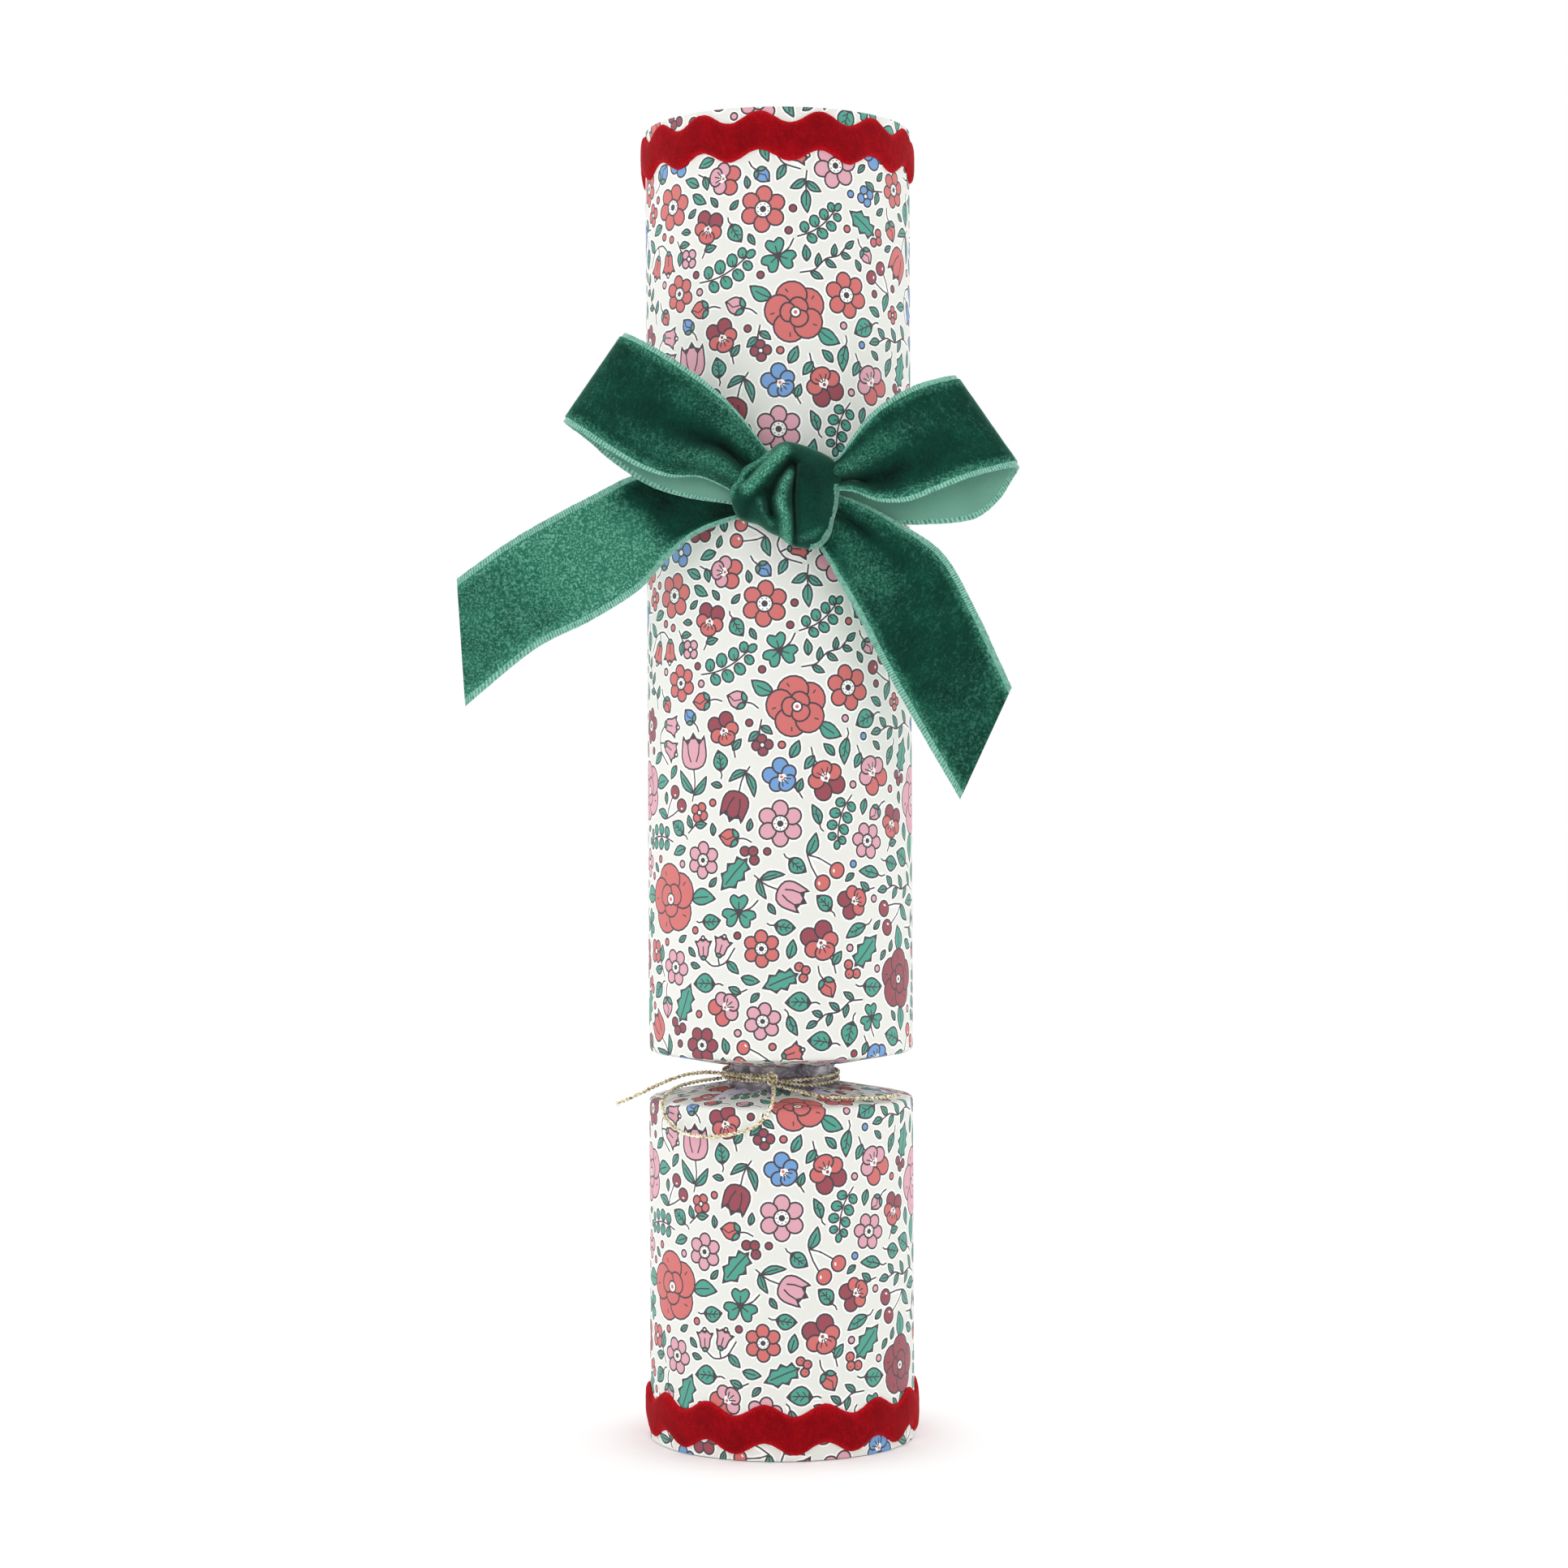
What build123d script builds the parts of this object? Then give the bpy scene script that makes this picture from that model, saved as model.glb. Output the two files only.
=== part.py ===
"""Christmas cracker: a printed paper tube drawn in at two chokes, with a velvet bow and a gold cord.

The axis of the cracker is Z. It stands on its lower rim, whose centre is the origin, and the bow
faces -Y. All sizes are in millimetres and degrees.
"""

import math
import os

from build123d import *

# Paper and card
overall_length = 305.0
wrap_radius = 31.0
end_length = 79.2
paper_thickness = 0.25
lining_thickness = 0.4
card_wall = 0.8
glue_line = 0.05
tear_half_gap = 0.05

# Chokes
choke_half_gap = 5.5
neck_radius = 12.8
gather_depth = 2.0
neck_hole_radius = 8.0

# Gold cord of the lower choke
cord_diameter = 0.9
cord_clearance = 0.25
winding_turns = 2
winding_gap = 0.5
biarc_count = 8
cord_knot_radius = 1.4
cord_knot_waist = 0.9
cord_knot_angle = -97.5

# Ric-rac braid
ricrac_waves = 14
ricrac_height = 8.8
ricrac_swing = 1.325
ricrac_thickness = 1.1
ricrac_crest_angle = -97.5
upper_ricrac_inset = 0.8
lower_ricrac_inset = 1.3

# Snap
snap_width = 10.0
snap_card = 0.35
snap_offset = 2.2
snap_overlap = 60.0
snap_tab_reach = 24.0
snap_clearance = 0.3
charge_gap = 0.35
charge_width = 7.0
charge_length = 12.0
sleeve_wall = 0.2
sleeve_length = 30.0

# Contents of the barrel
rest_clearance = 0.3
contents_angle = 45.0
contents_wall_gap = 1.2
crown_radius = 6.6
crown_roll_wall = 2.2
crown_length = 72.0
crown_band_wall = 0.35
crown_band_length = 8.0
motto_wall = 0.5
motto_length = 50.0
top_radius = 8.0
top_disc_thickness = 7.0
top_stem_radius = 1.6
top_stem_length = 26.0
top_tip_length = 7.0

# Bow
ribbon_width = 23.0
ribbon_thickness = 1.0
ribbon_layer_gap = 1.6
bow_clearance = 0.6
band_clearance = 0.35
band_thickness = 6.4
band_lead_width = 12.0
band_lead_height = 8.6
knot_radius = 11.8
knot_depth = 14.4
knot_rim_fillet = 2.5
knot_drop = 3.8
knot_shift = 1.0
knot_throat = 8.0
fold_radius = 3.8
left_loop_length = 49.5
left_loop_heading = 147.7
left_loop_drop = 2.0
left_loop_skew = 0.0
right_loop_length = 48.2
right_loop_heading = 19.7
right_loop_drop = 4.5
right_loop_skew = 12.0
left_tail_length = 78.0
left_tail_headings = (186.0, 197.0, 208.0, 213.0, 219.0)
right_tail_length = 70.0
right_tail_headings = (-42.0, -42.0, -58.0, -63.0, -61.0)
tail_waves = (0.0, 0.4, 1.0, 0.0, -1.4, -0.6)
tail_cut_slant = 35.0

# Routes of the gold cord's free stretches, from the knot outwards
cord_loop_route = [
    (-2.0, -15.5, 83.4),
    (-1.7, -21.5, 83.0),
    (-1.6, -28.3, 82.1),
    (-2.2, -33.0, 79.4),
    (-5.2, -33.3, 75.8),
    (-10.5, -32.0, 73.8),
    (-16.5, -29.2, 72.8),
    (-22.4, -24.5, 73.1),
    (-26.6, -19.6, 75.7),
    (-27.6, -15.6, 79.7),
    (-25.2, -10.8, 82.1),
    (-20.5, -7.2, 83.2),
    (-16.2, -4.8, 83.6),
    (-13.9, -3.3, 83.7),
]
cord_left_route = [
    (-2.0, -15.5, 84.4),
    (-7.4, -14.7, 84.9),
    (-12.4, -11.2, 85.5),
    (-17.4, -7.9, 85.7),
    (-23.0, -6.9, 84.9),
    (-28.4, -7.5, 82.8),
    (-33.2, -8.4, 80.5),
    (-37.4, -8.8, 78.7),
]
cord_right_route = [
    (-2.0, -15.5, 83.4),
    (1.6, -19.4, 82.9),
    (6.6, -22.8, 81.8),
    (12.5, -23.7, 81.0),
    (18.4, -22.1, 80.7),
    (23.4, -18.8, 80.6),
    (26.2, -16.0, 80.7),
]

# Levels and radii that follow from the sizes above
lower_choke = end_length + choke_half_gap
upper_choke = overall_length - lower_choke
mid_height = overall_length / 2
winding_pitch = cord_diameter + winding_gap
winding_radius = neck_radius + cord_clearance + cord_diameter / 2
neck_half_height = (winding_turns * winding_pitch + cord_diameter) / 2 + cord_clearance
shoulder_slope = (choke_half_gap - neck_half_height) / (wrap_radius - neck_radius)
slope_stretch = math.hypot(1, shoulder_slope)
paper_rise = paper_thickness * slope_stretch
lining_rise = lining_thickness * slope_stretch
gather_radius = neck_radius - gather_depth
wrap_bore_radius = wrap_radius - paper_thickness
tube_radius = wrap_bore_radius - glue_line
tube_bore_radius = tube_radius - card_wall


def shoulder(radius):
    """Distance of the printed shoulder's outer face from the tear line, at a radius."""
    return neck_half_height + (radius - neck_radius) * shoulder_slope


def lining_outside(radius):
    """Distance of the lining's printed-paper side from the tear line."""
    return shoulder(radius) + paper_rise + glue_line


def lining_inside(radius):
    """Distance of the lining's open side from the tear line."""
    return lining_outside(radius) + lining_rise


tube_setback = lining_inside(tube_radius) + glue_line


def turned(outline):
    """Solid of revolution about Z of a closed outline of (radius, height) points."""
    return revolve(make_face(Plane.XZ * Polyline(*outline, close=True)), Axis.Z)


def at_choke(outline, choke, side):
    """Outline of (radius, distance from the tear line) points, set above (+1) or below (-1) a choke."""
    return [(radius, choke + side * distance) for radius, distance in outline]


def make_wraps():
    """The printed sheet, parted at its two tear lines."""
    choke_edge = [
        (wrap_radius, shoulder(wrap_radius)),
        (neck_radius, neck_half_height),
        (neck_radius, tear_half_gap),
        (gather_radius, tear_half_gap),
        (gather_radius, shoulder(gather_radius) + paper_rise),
        (wrap_bore_radius, shoulder(wrap_bore_radius) + paper_rise),
    ]
    lower_rim = [(wrap_bore_radius, 0), (wrap_radius, 0)]
    upper_rim = [(wrap_bore_radius, overall_length), (wrap_radius, overall_length)]
    barrel_foot = at_choke(choke_edge, lower_choke, 1)
    barrel_foot.reverse()
    return {
        "lower_end_wrap": turned(lower_rim + at_choke(choke_edge, lower_choke, -1)),
        "barrel_wrap": turned(barrel_foot + at_choke(choke_edge, upper_choke, -1)),
        "upper_end_wrap": turned(upper_rim + at_choke(choke_edge, upper_choke, 1)),
    }


def make_linings():
    """Lilac lining under each of the four shoulders, bunched into the necks."""
    bunch_radius = gather_radius - glue_line
    outline = [
        (neck_hole_radius, tear_half_gap),
        (bunch_radius, tear_half_gap),
        (bunch_radius, lining_outside(bunch_radius)),
        (tube_radius, lining_outside(tube_radius)),
        (tube_radius, lining_inside(tube_radius)),
        (neck_hole_radius, lining_inside(neck_hole_radius)),
    ]
    return {
        "lower_end_lining": turned(at_choke(outline, lower_choke, -1)),
        "barrel_lower_lining": turned(at_choke(outline, lower_choke, 1)),
        "barrel_upper_lining": turned(at_choke(outline, upper_choke, -1)),
        "upper_end_lining": turned(at_choke(outline, upper_choke, 1)),
    }


def ring(inner, outer, low, high):
    """Plain tube about Z."""
    return turned([(inner, low), (outer, low), (outer, high), (inner, high)])


def make_tubes():
    """Card tubes that keep the three drums round."""
    return {
        "lower_end_tube": ring(tube_bore_radius, tube_radius, 0, lower_choke - tube_setback),
        "barrel_tube": ring(
            tube_bore_radius, tube_radius, lower_choke + tube_setback, upper_choke - tube_setback
        ),
        "upper_end_tube": ring(
            tube_bore_radius, tube_radius, upper_choke + tube_setback, overall_length
        ),
    }


def wave_edge(quarter, height):
    """One wave of the braid's edge, trough to trough, made of tangent arcs."""
    arc_radius = (quarter**2 + ricrac_swing**2) / (2 * ricrac_swing)
    half_turn = math.asin(quarter / arc_radius) / 2
    mid_run = arc_radius * math.sin(half_turn)
    mid_rise = arc_radius * (1 - math.cos(half_turn))
    trough = height - ricrac_swing
    crest = height + ricrac_swing
    return [
        Line((-3 * quarter, trough), (-2 * quarter, trough)),
        ThreePointArc((-2 * quarter, trough), (mid_run - 2 * quarter, trough + mid_rise), (-quarter, height)),
        ThreePointArc((-quarter, height), (0, crest), (quarter, height)),
        ThreePointArc((quarter, height), (2 * quarter - mid_run, trough + mid_rise), (2 * quarter, trough)),
        Line((2 * quarter, trough), (3 * quarter, trough)),
    ]


def make_ricrac(centre_height):
    """Wavy velvet braid round one end, glued to the printed paper."""
    inner = wrap_radius + glue_line
    outer = inner + ricrac_thickness
    wave_angle = 360 / ricrac_waves
    quarter = math.pi * (inner + outer) / ricrac_waves / 4
    top = wave_edge(quarter, centre_height + ricrac_height / 2)
    bottom = wave_edge(quarter, centre_height - ricrac_height / 2)
    sides = [Line(top[0] @ 0, bottom[0] @ 0), Line(top[-1] @ 1, bottom[-1] @ 1)]
    outline = make_face(Plane.XZ * Curve(top + bottom + sides))
    wave_prism = extrude(outline, amount=2 * outer, dir=(0, -1, 0))
    reach = ricrac_height / 2 + ricrac_swing
    slab = Plane.XZ * Polyline(
        (inner, centre_height - 2 * reach),
        (outer, centre_height - 2 * reach),
        (outer, centre_height + 2 * reach),
        (inner, centre_height + 2 * reach),
        close=True,
    )
    sector = Rot(0, 0, -90 - wave_angle / 2) * revolve(make_face(slab), Axis.Z, wave_angle)
    wave = sector & wave_prism
    turn = ricrac_crest_angle + 90
    waves = [Rot(0, 0, turn + i * wave_angle) * wave for i in range(ricrac_waves)]
    return waves[0].fuse(*waves[1:])


def make_ricracs():
    """Both braids."""
    half_band = ricrac_height / 2 + ricrac_swing
    return {
        "lower_ricrac": make_ricrac(lower_ricrac_inset + half_band),
        "upper_ricrac": make_ricrac(overall_length - upper_ricrac_inset - half_band),
    }


def slab_yz(outline, width):
    """Plate of an outline of (y, z) points, centred on x = 0."""
    return extrude(make_face(Plane.YZ * Polyline(*outline, close=True)), amount=width / 2, both=True)


def block(width, low_y, high_y, low_z, high_z):
    """Rectangular block centred on x = 0."""
    return slab_yz([(low_y, low_z), (high_y, low_z), (high_y, high_z), (low_y, high_z)], width)


def snap_strip(near_y, choke, side):
    """Snap strip whose tab is folded back against the lining inside an end (side -1 lower, +1 upper)."""
    far_y = near_y + snap_card
    tip = mid_height - side * snap_overlap / 2

    def tab(radius):
        return choke + side * (lining_inside(radius) + snap_clearance)

    tab_rise = side * snap_card * slope_stretch
    outline = [
        (near_y, tip),
        (far_y, tip),
        (far_y, tab(far_y)),
        (snap_tab_reach, tab(snap_tab_reach)),
        (snap_tab_reach, tab(snap_tab_reach) + tab_rise),
        (near_y, tab(near_y) + tab_rise),
    ]
    return slab_yz(outline, snap_width)


def make_snap():
    """Two card strips that overlap in a sleeve, with the friction charge between them."""
    lower_back = snap_offset + snap_card
    upper_front = lower_back + charge_gap
    upper_back = upper_front + snap_card
    hollow = (snap_offset - snap_clearance, upper_back + glue_line)
    low, high = mid_height - sleeve_length / 2, mid_height + sleeve_length / 2
    hollow_width = snap_width + 2 * snap_clearance
    sleeve = block(hollow_width + 2 * sleeve_wall, hollow[0] - sleeve_wall, hollow[1] + sleeve_wall, low, high)
    return {
        "snap_lower_strip": snap_strip(snap_offset, lower_choke, -1),
        "snap_upper_strip": snap_strip(upper_front, upper_choke, 1),
        "snap_charge": block(
            charge_width,
            lower_back + glue_line,
            upper_front,
            mid_height - charge_length / 2,
            mid_height + charge_length / 2,
        ),
        "snap_sleeve": sleeve - block(hollow_width, hollow[0], hollow[1], low, high),
    }


def make_contents():
    """Rolled tissue crown with the motto inside it, and a wooden spinning top."""
    crown_centre = tube_bore_radius - contents_wall_gap - crown_radius - crown_band_wall
    crown_place = Pos(
        -crown_centre * math.cos(math.radians(contents_angle)),
        crown_centre * math.sin(math.radians(contents_angle)),
        lower_choke + lining_inside(crown_centre + crown_radius) + rest_clearance,
    )
    roll_bore = crown_radius - crown_roll_wall
    motto_radius = roll_bore - glue_line
    band_bore = crown_radius + glue_line
    band_low = (crown_length - crown_band_length) / 2

    top_centre = tube_bore_radius - contents_wall_gap - top_radius
    top_place = Pos(
        top_centre * math.cos(math.radians(contents_angle)),
        top_centre * math.sin(math.radians(contents_angle)),
        lower_choke + lining_inside(top_centre + top_stem_radius) + rest_clearance,
    )
    disc_high = top_tip_length + top_disc_thickness
    disc_bore = top_stem_radius + glue_line
    tip_radius = top_stem_radius / 3
    stem = [
        (0, 0),
        (tip_radius, 0),
        (top_stem_radius, top_tip_length / 2),
        (top_stem_radius, top_stem_length),
        (0, top_stem_length),
    ]
    disc = [
        (disc_bore, top_tip_length),
        (top_radius / 2, top_tip_length),
        (top_radius, disc_high - top_disc_thickness / 3),
        (top_radius, disc_high),
        (disc_bore, disc_high),
    ]
    return {
        "paper_crown": crown_place * ring(roll_bore, crown_radius, 0, crown_length),
        "crown_band": crown_place
        * ring(band_bore, band_bore + crown_band_wall, band_low, band_low + crown_band_length),
        "motto_slip": crown_place * ring(motto_radius - motto_wall, motto_radius, 0, motto_length),
        "gift_top_stem": top_place * turned(stem),
        "gift_top_disc": top_place * turned(disc),
    }


def biarc(start, start_tangent, end, end_tangent):
    """Two tangent arcs from one point and direction to another."""
    chord = end - start
    both = start_tangent + end_tangent
    spread = 2 * (1 - start_tangent.dot(end_tangent))
    lean = chord.dot(both)
    reach = (math.sqrt(lean**2 + spread * chord.dot(chord)) - lean) / spread
    first = start + start_tangent * reach
    last = end - end_tangent * reach
    joint = (first + last) * 0.5
    return [
        TangentArc(start, joint, tangent=start_tangent),
        TangentArc(joint, end, tangent=(last - first).normalized()),
    ]


def report_tube(name, path, solid):
    """Print a cord's length and how its volume compares with section times length."""
    expected = math.pi * cord_diameter**2 / 4 * path.length
    print(f"{name}: length {path.length:.1f} mm, volume ratio {solid.volume / expected:.4f}")


def swept_cord(path):
    """Round cord along a path."""
    section = Plane(path @ 0, z_dir=path % 0) * Circle(cord_diameter / 2)
    return sweep(section, path=path)


def make_winding(knot_distance):
    """Gold cord wound round the lower neck, one unbroken tube from knot to knot."""
    run_out = math.sqrt(knot_distance**2 - winding_radius**2)
    lead = math.degrees(math.atan2(run_out, winding_radius))
    sweep_angle = 360 * winding_turns - 2 * lead
    climb = winding_pitch / 360

    def on_helix(step):
        swept = sweep_angle * step / biarc_count
        angle = math.radians(cord_knot_angle + lead + swept)
        across, along = math.cos(angle), math.sin(angle)
        height = lower_choke + climb * (swept - sweep_angle / 2)
        slope = math.degrees(climb) / winding_radius
        tangent = Vector(-along, across, slope).normalized()
        return Vector(winding_radius * across, winding_radius * along, height), tangent

    stops = [on_helix(step) for step in range(biarc_count + 1)]
    first, first_tangent = stops[0]
    last, last_tangent = stops[-1]
    edges = [Line(first - first_tangent * run_out, first)]
    for (start, start_tangent), (end, end_tangent) in zip(stops, stops[1:]):
        edges += biarc(start, start_tangent, end, end_tangent)
    edges.append(Line(last, last + last_tangent * run_out))
    path = Wire(edges)

    samples = 400
    spacing = path.length / samples
    points = [path @ (i / samples) for i in range(samples + 1)]
    apart = int(math.pi * winding_radius / spacing)
    least = min(
        (points[i] - points[j]).length
        for i in range(samples + 1)
        for j in range(i + apart, samples + 1)
    )
    print(f"choke_cord_winding: least gap to itself {least - cord_diameter:.2f} mm")
    return path


def free_cord(name, route):
    """Path of straight runs joined by arcs as large as the runs allow."""
    points = [Vector(*point) for point in route]
    runs = [end - start for start, end in zip(points, points[1:])]
    radii = []
    for before, after in zip(runs, runs[1:]):
        half_turn = math.radians(before.get_angle(after)) / 2
        radii.append(0.45 * min(before.length, after.length) / math.tan(half_turn))
    print(f"{name}: radii", ", ".join(f"{radius:.1f}" for radius in radii))
    return FilletPolyline(*points, radius=radii)


def make_cord():
    """Winding, knot, hanging loop and two free ends of the gold cord."""
    knot_distance = winding_radius + cord_diameter / 2 + cord_clearance + cord_knot_radius
    angle = math.radians(cord_knot_angle)
    knot_half = shoulder(knot_distance - cord_knot_radius) - cord_clearance
    side = Plane.XZ * ThreePointArc(
        (cord_knot_waist, -knot_half), (cord_knot_radius, 0), (cord_knot_waist, knot_half)
    )
    ends = Plane.XZ * Polyline(
        (cord_knot_waist, knot_half), (0, knot_half), (0, -knot_half), (cord_knot_waist, -knot_half)
    )
    place = Pos(knot_distance * math.cos(angle), knot_distance * math.sin(angle), lower_choke)
    knot = place * revolve(make_face([side.edge(), *ends.edges()]), Axis.Z)
    paths = {
        "choke_cord_winding": make_winding(knot_distance),
        "choke_cord_loop": free_cord("choke_cord_loop", cord_loop_route),
        "choke_cord_left_end": free_cord("choke_cord_left_end", cord_left_route),
        "choke_cord_right_end": free_cord("choke_cord_right_end", cord_right_route),
    }
    pieces = {"choke_cord_knot": knot}
    for name, path in paths.items():
        tube = swept_cord(path)
        report_tube(name, path, tube)
        pieces[name] = tube - knot
    return pieces


def heading_vector(degrees):
    """Unit vector in the XZ plane, measured from +X towards +Z."""
    return Vector(math.cos(math.radians(degrees)), 0, math.sin(math.radians(degrees)))


def ribbon(stations):
    """Ribbon through stations of (centre, direction across the ribbon, width across)."""
    centres = [centre for centre, _, _ in stations]
    sections = []
    for i, (centre, across, width) in enumerate(stations):
        along = centres[min(i + 1, len(centres) - 1)] - centres[max(i - 1, 0)]
        face_normal = along.cross(across).normalized() * (ribbon_thickness / 2)
        half = across * (width / 2)
        corners = [
            centre + half + face_normal,
            centre - half + face_normal,
            centre - half - face_normal,
            centre + half - face_normal,
        ]
        sections.append(make_face(Polyline(*corners, close=True)))
    return loft(sections, ruled=True)


# Depths of the bow's layers in front of the axis
knot_back = wrap_radius + bow_clearance
tail_depth = knot_back + bow_clearance + ribbon_thickness / 2
loop_back_depth = tail_depth + ribbon_thickness + ribbon_layer_gap
loop_front_depth = loop_back_depth + 2 * fold_radius
knot_centre = Vector(knot_shift, 0, upper_choke - knot_drop)


def bow_loop(heading, length, drop, skew):
    """Loop of the bow: a front layer out of the knot, a fold, and a back layer that lies lower."""
    along = heading_vector(heading)
    upward = 1 if math.cos(math.radians(heading)) > 0 else -1
    fold_start = length - fold_radius
    fold_depth = (loop_front_depth + loop_back_depth) / 2
    pinch = fold_radius / 2
    full = ribbon_width
    flare = (knot_throat + full) / 2
    stops = [
        (knot_radius / 2, fold_depth + pinch, 0.0, knot_throat),
        (1.25 * knot_radius, loop_front_depth - pinch / 4, 0.0, flare),
        (2 * knot_radius, loop_front_depth, 0.0, full),
    ]
    for turn in (0, 45, 90, 135, 180):
        swing = math.radians(turn)
        out = fold_start + fold_radius * math.sin(swing)
        stops.append((out, fold_depth + fold_radius * math.cos(swing), turn / 180, full))
    stops += [
        (2 * knot_radius, loop_back_depth, 1.0, full),
        (1.25 * knot_radius, loop_back_depth + pinch / 4, 1.0, flare),
        (knot_radius / 2, fold_depth - pinch, 0.5, knot_throat),
    ]
    stations = []
    for out, depth, back, width in stops:
        across = heading_vector(heading + upward * 90 + skew * out / length)
        centre = knot_centre + along * out - across * (drop * back) + Vector(0, -depth, 0)
        stations.append((centre, across, width))
    return ribbon(stations)


def bow_tail(length, headings, slant_side):
    """Tail of the bow, from inside the knot to its slanted cut end."""
    step = length / len(headings)
    centre = knot_centre + Vector(0, -tail_depth, 0) + heading_vector(headings[0]) * (knot_radius / 4)
    widths = [knot_throat, (knot_throat + ribbon_width) / 2] + [ribbon_width] * (len(headings) - 1)
    stations = []
    for i, width in enumerate(widths):
        heading = headings[min(i, len(headings) - 1)]
        if 0 < i < len(headings):
            heading = (headings[i - 1] + headings[i]) / 2
        lean = slant_side * tail_cut_slant if i == len(headings) else 0
        across = heading_vector(heading + 90 + lean)
        stretch = 1 / math.cos(math.radians(lean))
        stations.append((centre + Vector(0, -tail_waves[i], 0), across, width * stretch))
        centre = centre + heading_vector(headings[min(i, len(headings) - 1)]) * step
    return ribbon(stations)


def make_neck_band():
    """Ribbon crushed into the upper choke, with the lead that runs out of the groove to the knot."""
    inner = neck_radius + band_clearance
    outer = inner + band_thickness
    room = band_clearance * slope_stretch
    inner_half = shoulder(inner) - room
    outer_half = shoulder(outer) - room
    band = turned(
        [
            (inner, upper_choke - inner_half),
            (outer, upper_choke - outer_half),
            (outer, upper_choke + outer_half),
            (inner, upper_choke + inner_half),
        ]
    )
    lead_start = (inner + outer) / 2
    start_half = shoulder(lead_start) - room
    end_half = band_lead_height / 2
    lead = slab_yz(
        [
            (-lead_start, upper_choke - start_half),
            (-knot_back, upper_choke - end_half),
            (-knot_back, upper_choke + end_half),
            (-lead_start, upper_choke + start_half),
        ],
        band_lead_width,
    )
    return band + lead


def make_knot():
    """Knot of the bow, a rounded lump that is flat at the back."""
    half_depth = knot_depth / 2
    flat_radius = knot_radius * 2 / 3
    edges = [
        Line((0, 0), (flat_radius, 0)),
        ThreePointArc((flat_radius, 0), (0.93 * knot_radius, half_depth / 3), (knot_radius, half_depth)),
        ThreePointArc((knot_radius, half_depth), (0.7 * knot_radius, 1.65 * half_depth), (0, knot_depth)),
        Line((0, knot_depth), (0, 0)),
    ]
    lump = revolve(make_face(Plane.XZ * Curve(edges)), Axis.Z)
    rim = lump.edges().filter_by(GeomType.CIRCLE).sort_by(SortBy.RADIUS)[-1]
    lump = fillet(rim, knot_rim_fillet)
    facing = Plane(knot_centre + Vector(0, -knot_back, 0), x_dir=(1, 0, 0), z_dir=(0, -1, 0))
    return facing * lump


def make_bow():
    """Band, knot, two loops and two tails of the velvet ribbon."""
    knot = make_knot()
    loose = {
        "bow_left_loop": bow_loop(left_loop_heading, left_loop_length, left_loop_drop, left_loop_skew),
        "bow_right_loop": bow_loop(right_loop_heading, right_loop_length, right_loop_drop, right_loop_skew),
        "bow_left_tail": bow_tail(left_tail_length, left_tail_headings, -1),
        "bow_right_tail": bow_tail(right_tail_length, right_tail_headings, 1),
    }
    pieces = {"ribbon_neck_band": make_neck_band(), "bow_knot": knot}
    for name, piece in loose.items():
        pieces[name] = piece - knot
    return pieces


def main():
    """Write every piece to its own file."""
    os.makedirs("parts", exist_ok=True)
    groups = [
        make_wraps(),
        make_linings(),
        make_tubes(),
        make_ricracs(),
        make_snap(),
        make_contents(),
        make_cord(),
        make_bow(),
    ]
    for group in groups:
        for name, shape in group.items():
            export_step(shape, f"parts/{name}.step")


main()
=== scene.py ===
"""Looks of the christmas cracker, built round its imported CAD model.

Sizes are written in millimetres and turned into metres where a mesh is made. The axis of the
cracker is Z, it stands on its lower rim and the bow faces -Y.
"""

import bisect
import math
import random

import bpy
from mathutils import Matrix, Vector, noise
from mathutils.bvhtree import BVHTree
from mathutils.geometry import delaunay_2d_cdt


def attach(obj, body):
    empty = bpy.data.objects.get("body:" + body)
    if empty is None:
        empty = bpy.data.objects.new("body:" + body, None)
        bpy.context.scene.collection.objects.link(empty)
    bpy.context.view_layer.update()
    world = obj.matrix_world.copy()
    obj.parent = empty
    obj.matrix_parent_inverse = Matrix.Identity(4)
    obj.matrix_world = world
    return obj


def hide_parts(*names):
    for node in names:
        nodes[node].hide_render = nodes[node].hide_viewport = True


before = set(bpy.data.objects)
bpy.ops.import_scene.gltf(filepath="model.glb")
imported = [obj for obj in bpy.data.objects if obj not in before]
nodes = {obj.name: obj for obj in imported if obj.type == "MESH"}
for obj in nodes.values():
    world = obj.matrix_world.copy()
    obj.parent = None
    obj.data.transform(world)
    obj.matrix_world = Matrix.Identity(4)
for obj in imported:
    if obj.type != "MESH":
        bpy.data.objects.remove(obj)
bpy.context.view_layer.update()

MM = 0.001
WRAP_RADIUS = 31.0
SHEET_WIDTH = math.tau * WRAP_RADIUS
LAP = 6.0
LAP_EASE = 5.0
LAP_RISE = 0.28
PAPER = 0.25
LINING = 0.4
UNDER_PRINT = PAPER + 0.06
LENGTH = 305.0
LOWER_CHOKE = 84.7
UPPER_CHOKE = 220.3
CHOKE_HALF = 5.5
NECK_RADIUS = 12.8
NECK_HALF = 2.1
TEAR = 0.05
SLIT_INNER = 13.4
CRUMPLE_FROM, CRUMPLE_OVER = 0.8, 0.2
BEND_STEPS = 8


def smooth(share):
    """Ease from 0 to 1."""
    share = min(max(share, 0.0), 1.0)
    return share * share * (3 - 2 * share)


def mix(first, last, share):
    """Straight blend of two numbers or vectors."""
    return first + (last - first) * share


def spline_at(a, b, c, d, t):
    """Smooth line from b to c at a share of the way, with a and d as its neighbours."""
    cubic = 3 * b - a - 3 * c + d
    return (2 * b + (c - a) * t + (2 * a - 5 * b + 4 * c - d) * t * t + cubic * t**3) / 2


# Camera and light


def add_object(name, data):
    """Object of that data, linked to the scene."""
    made = bpy.data.objects.new(name, data)
    bpy.context.scene.collection.objects.link(made)
    return made


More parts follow.
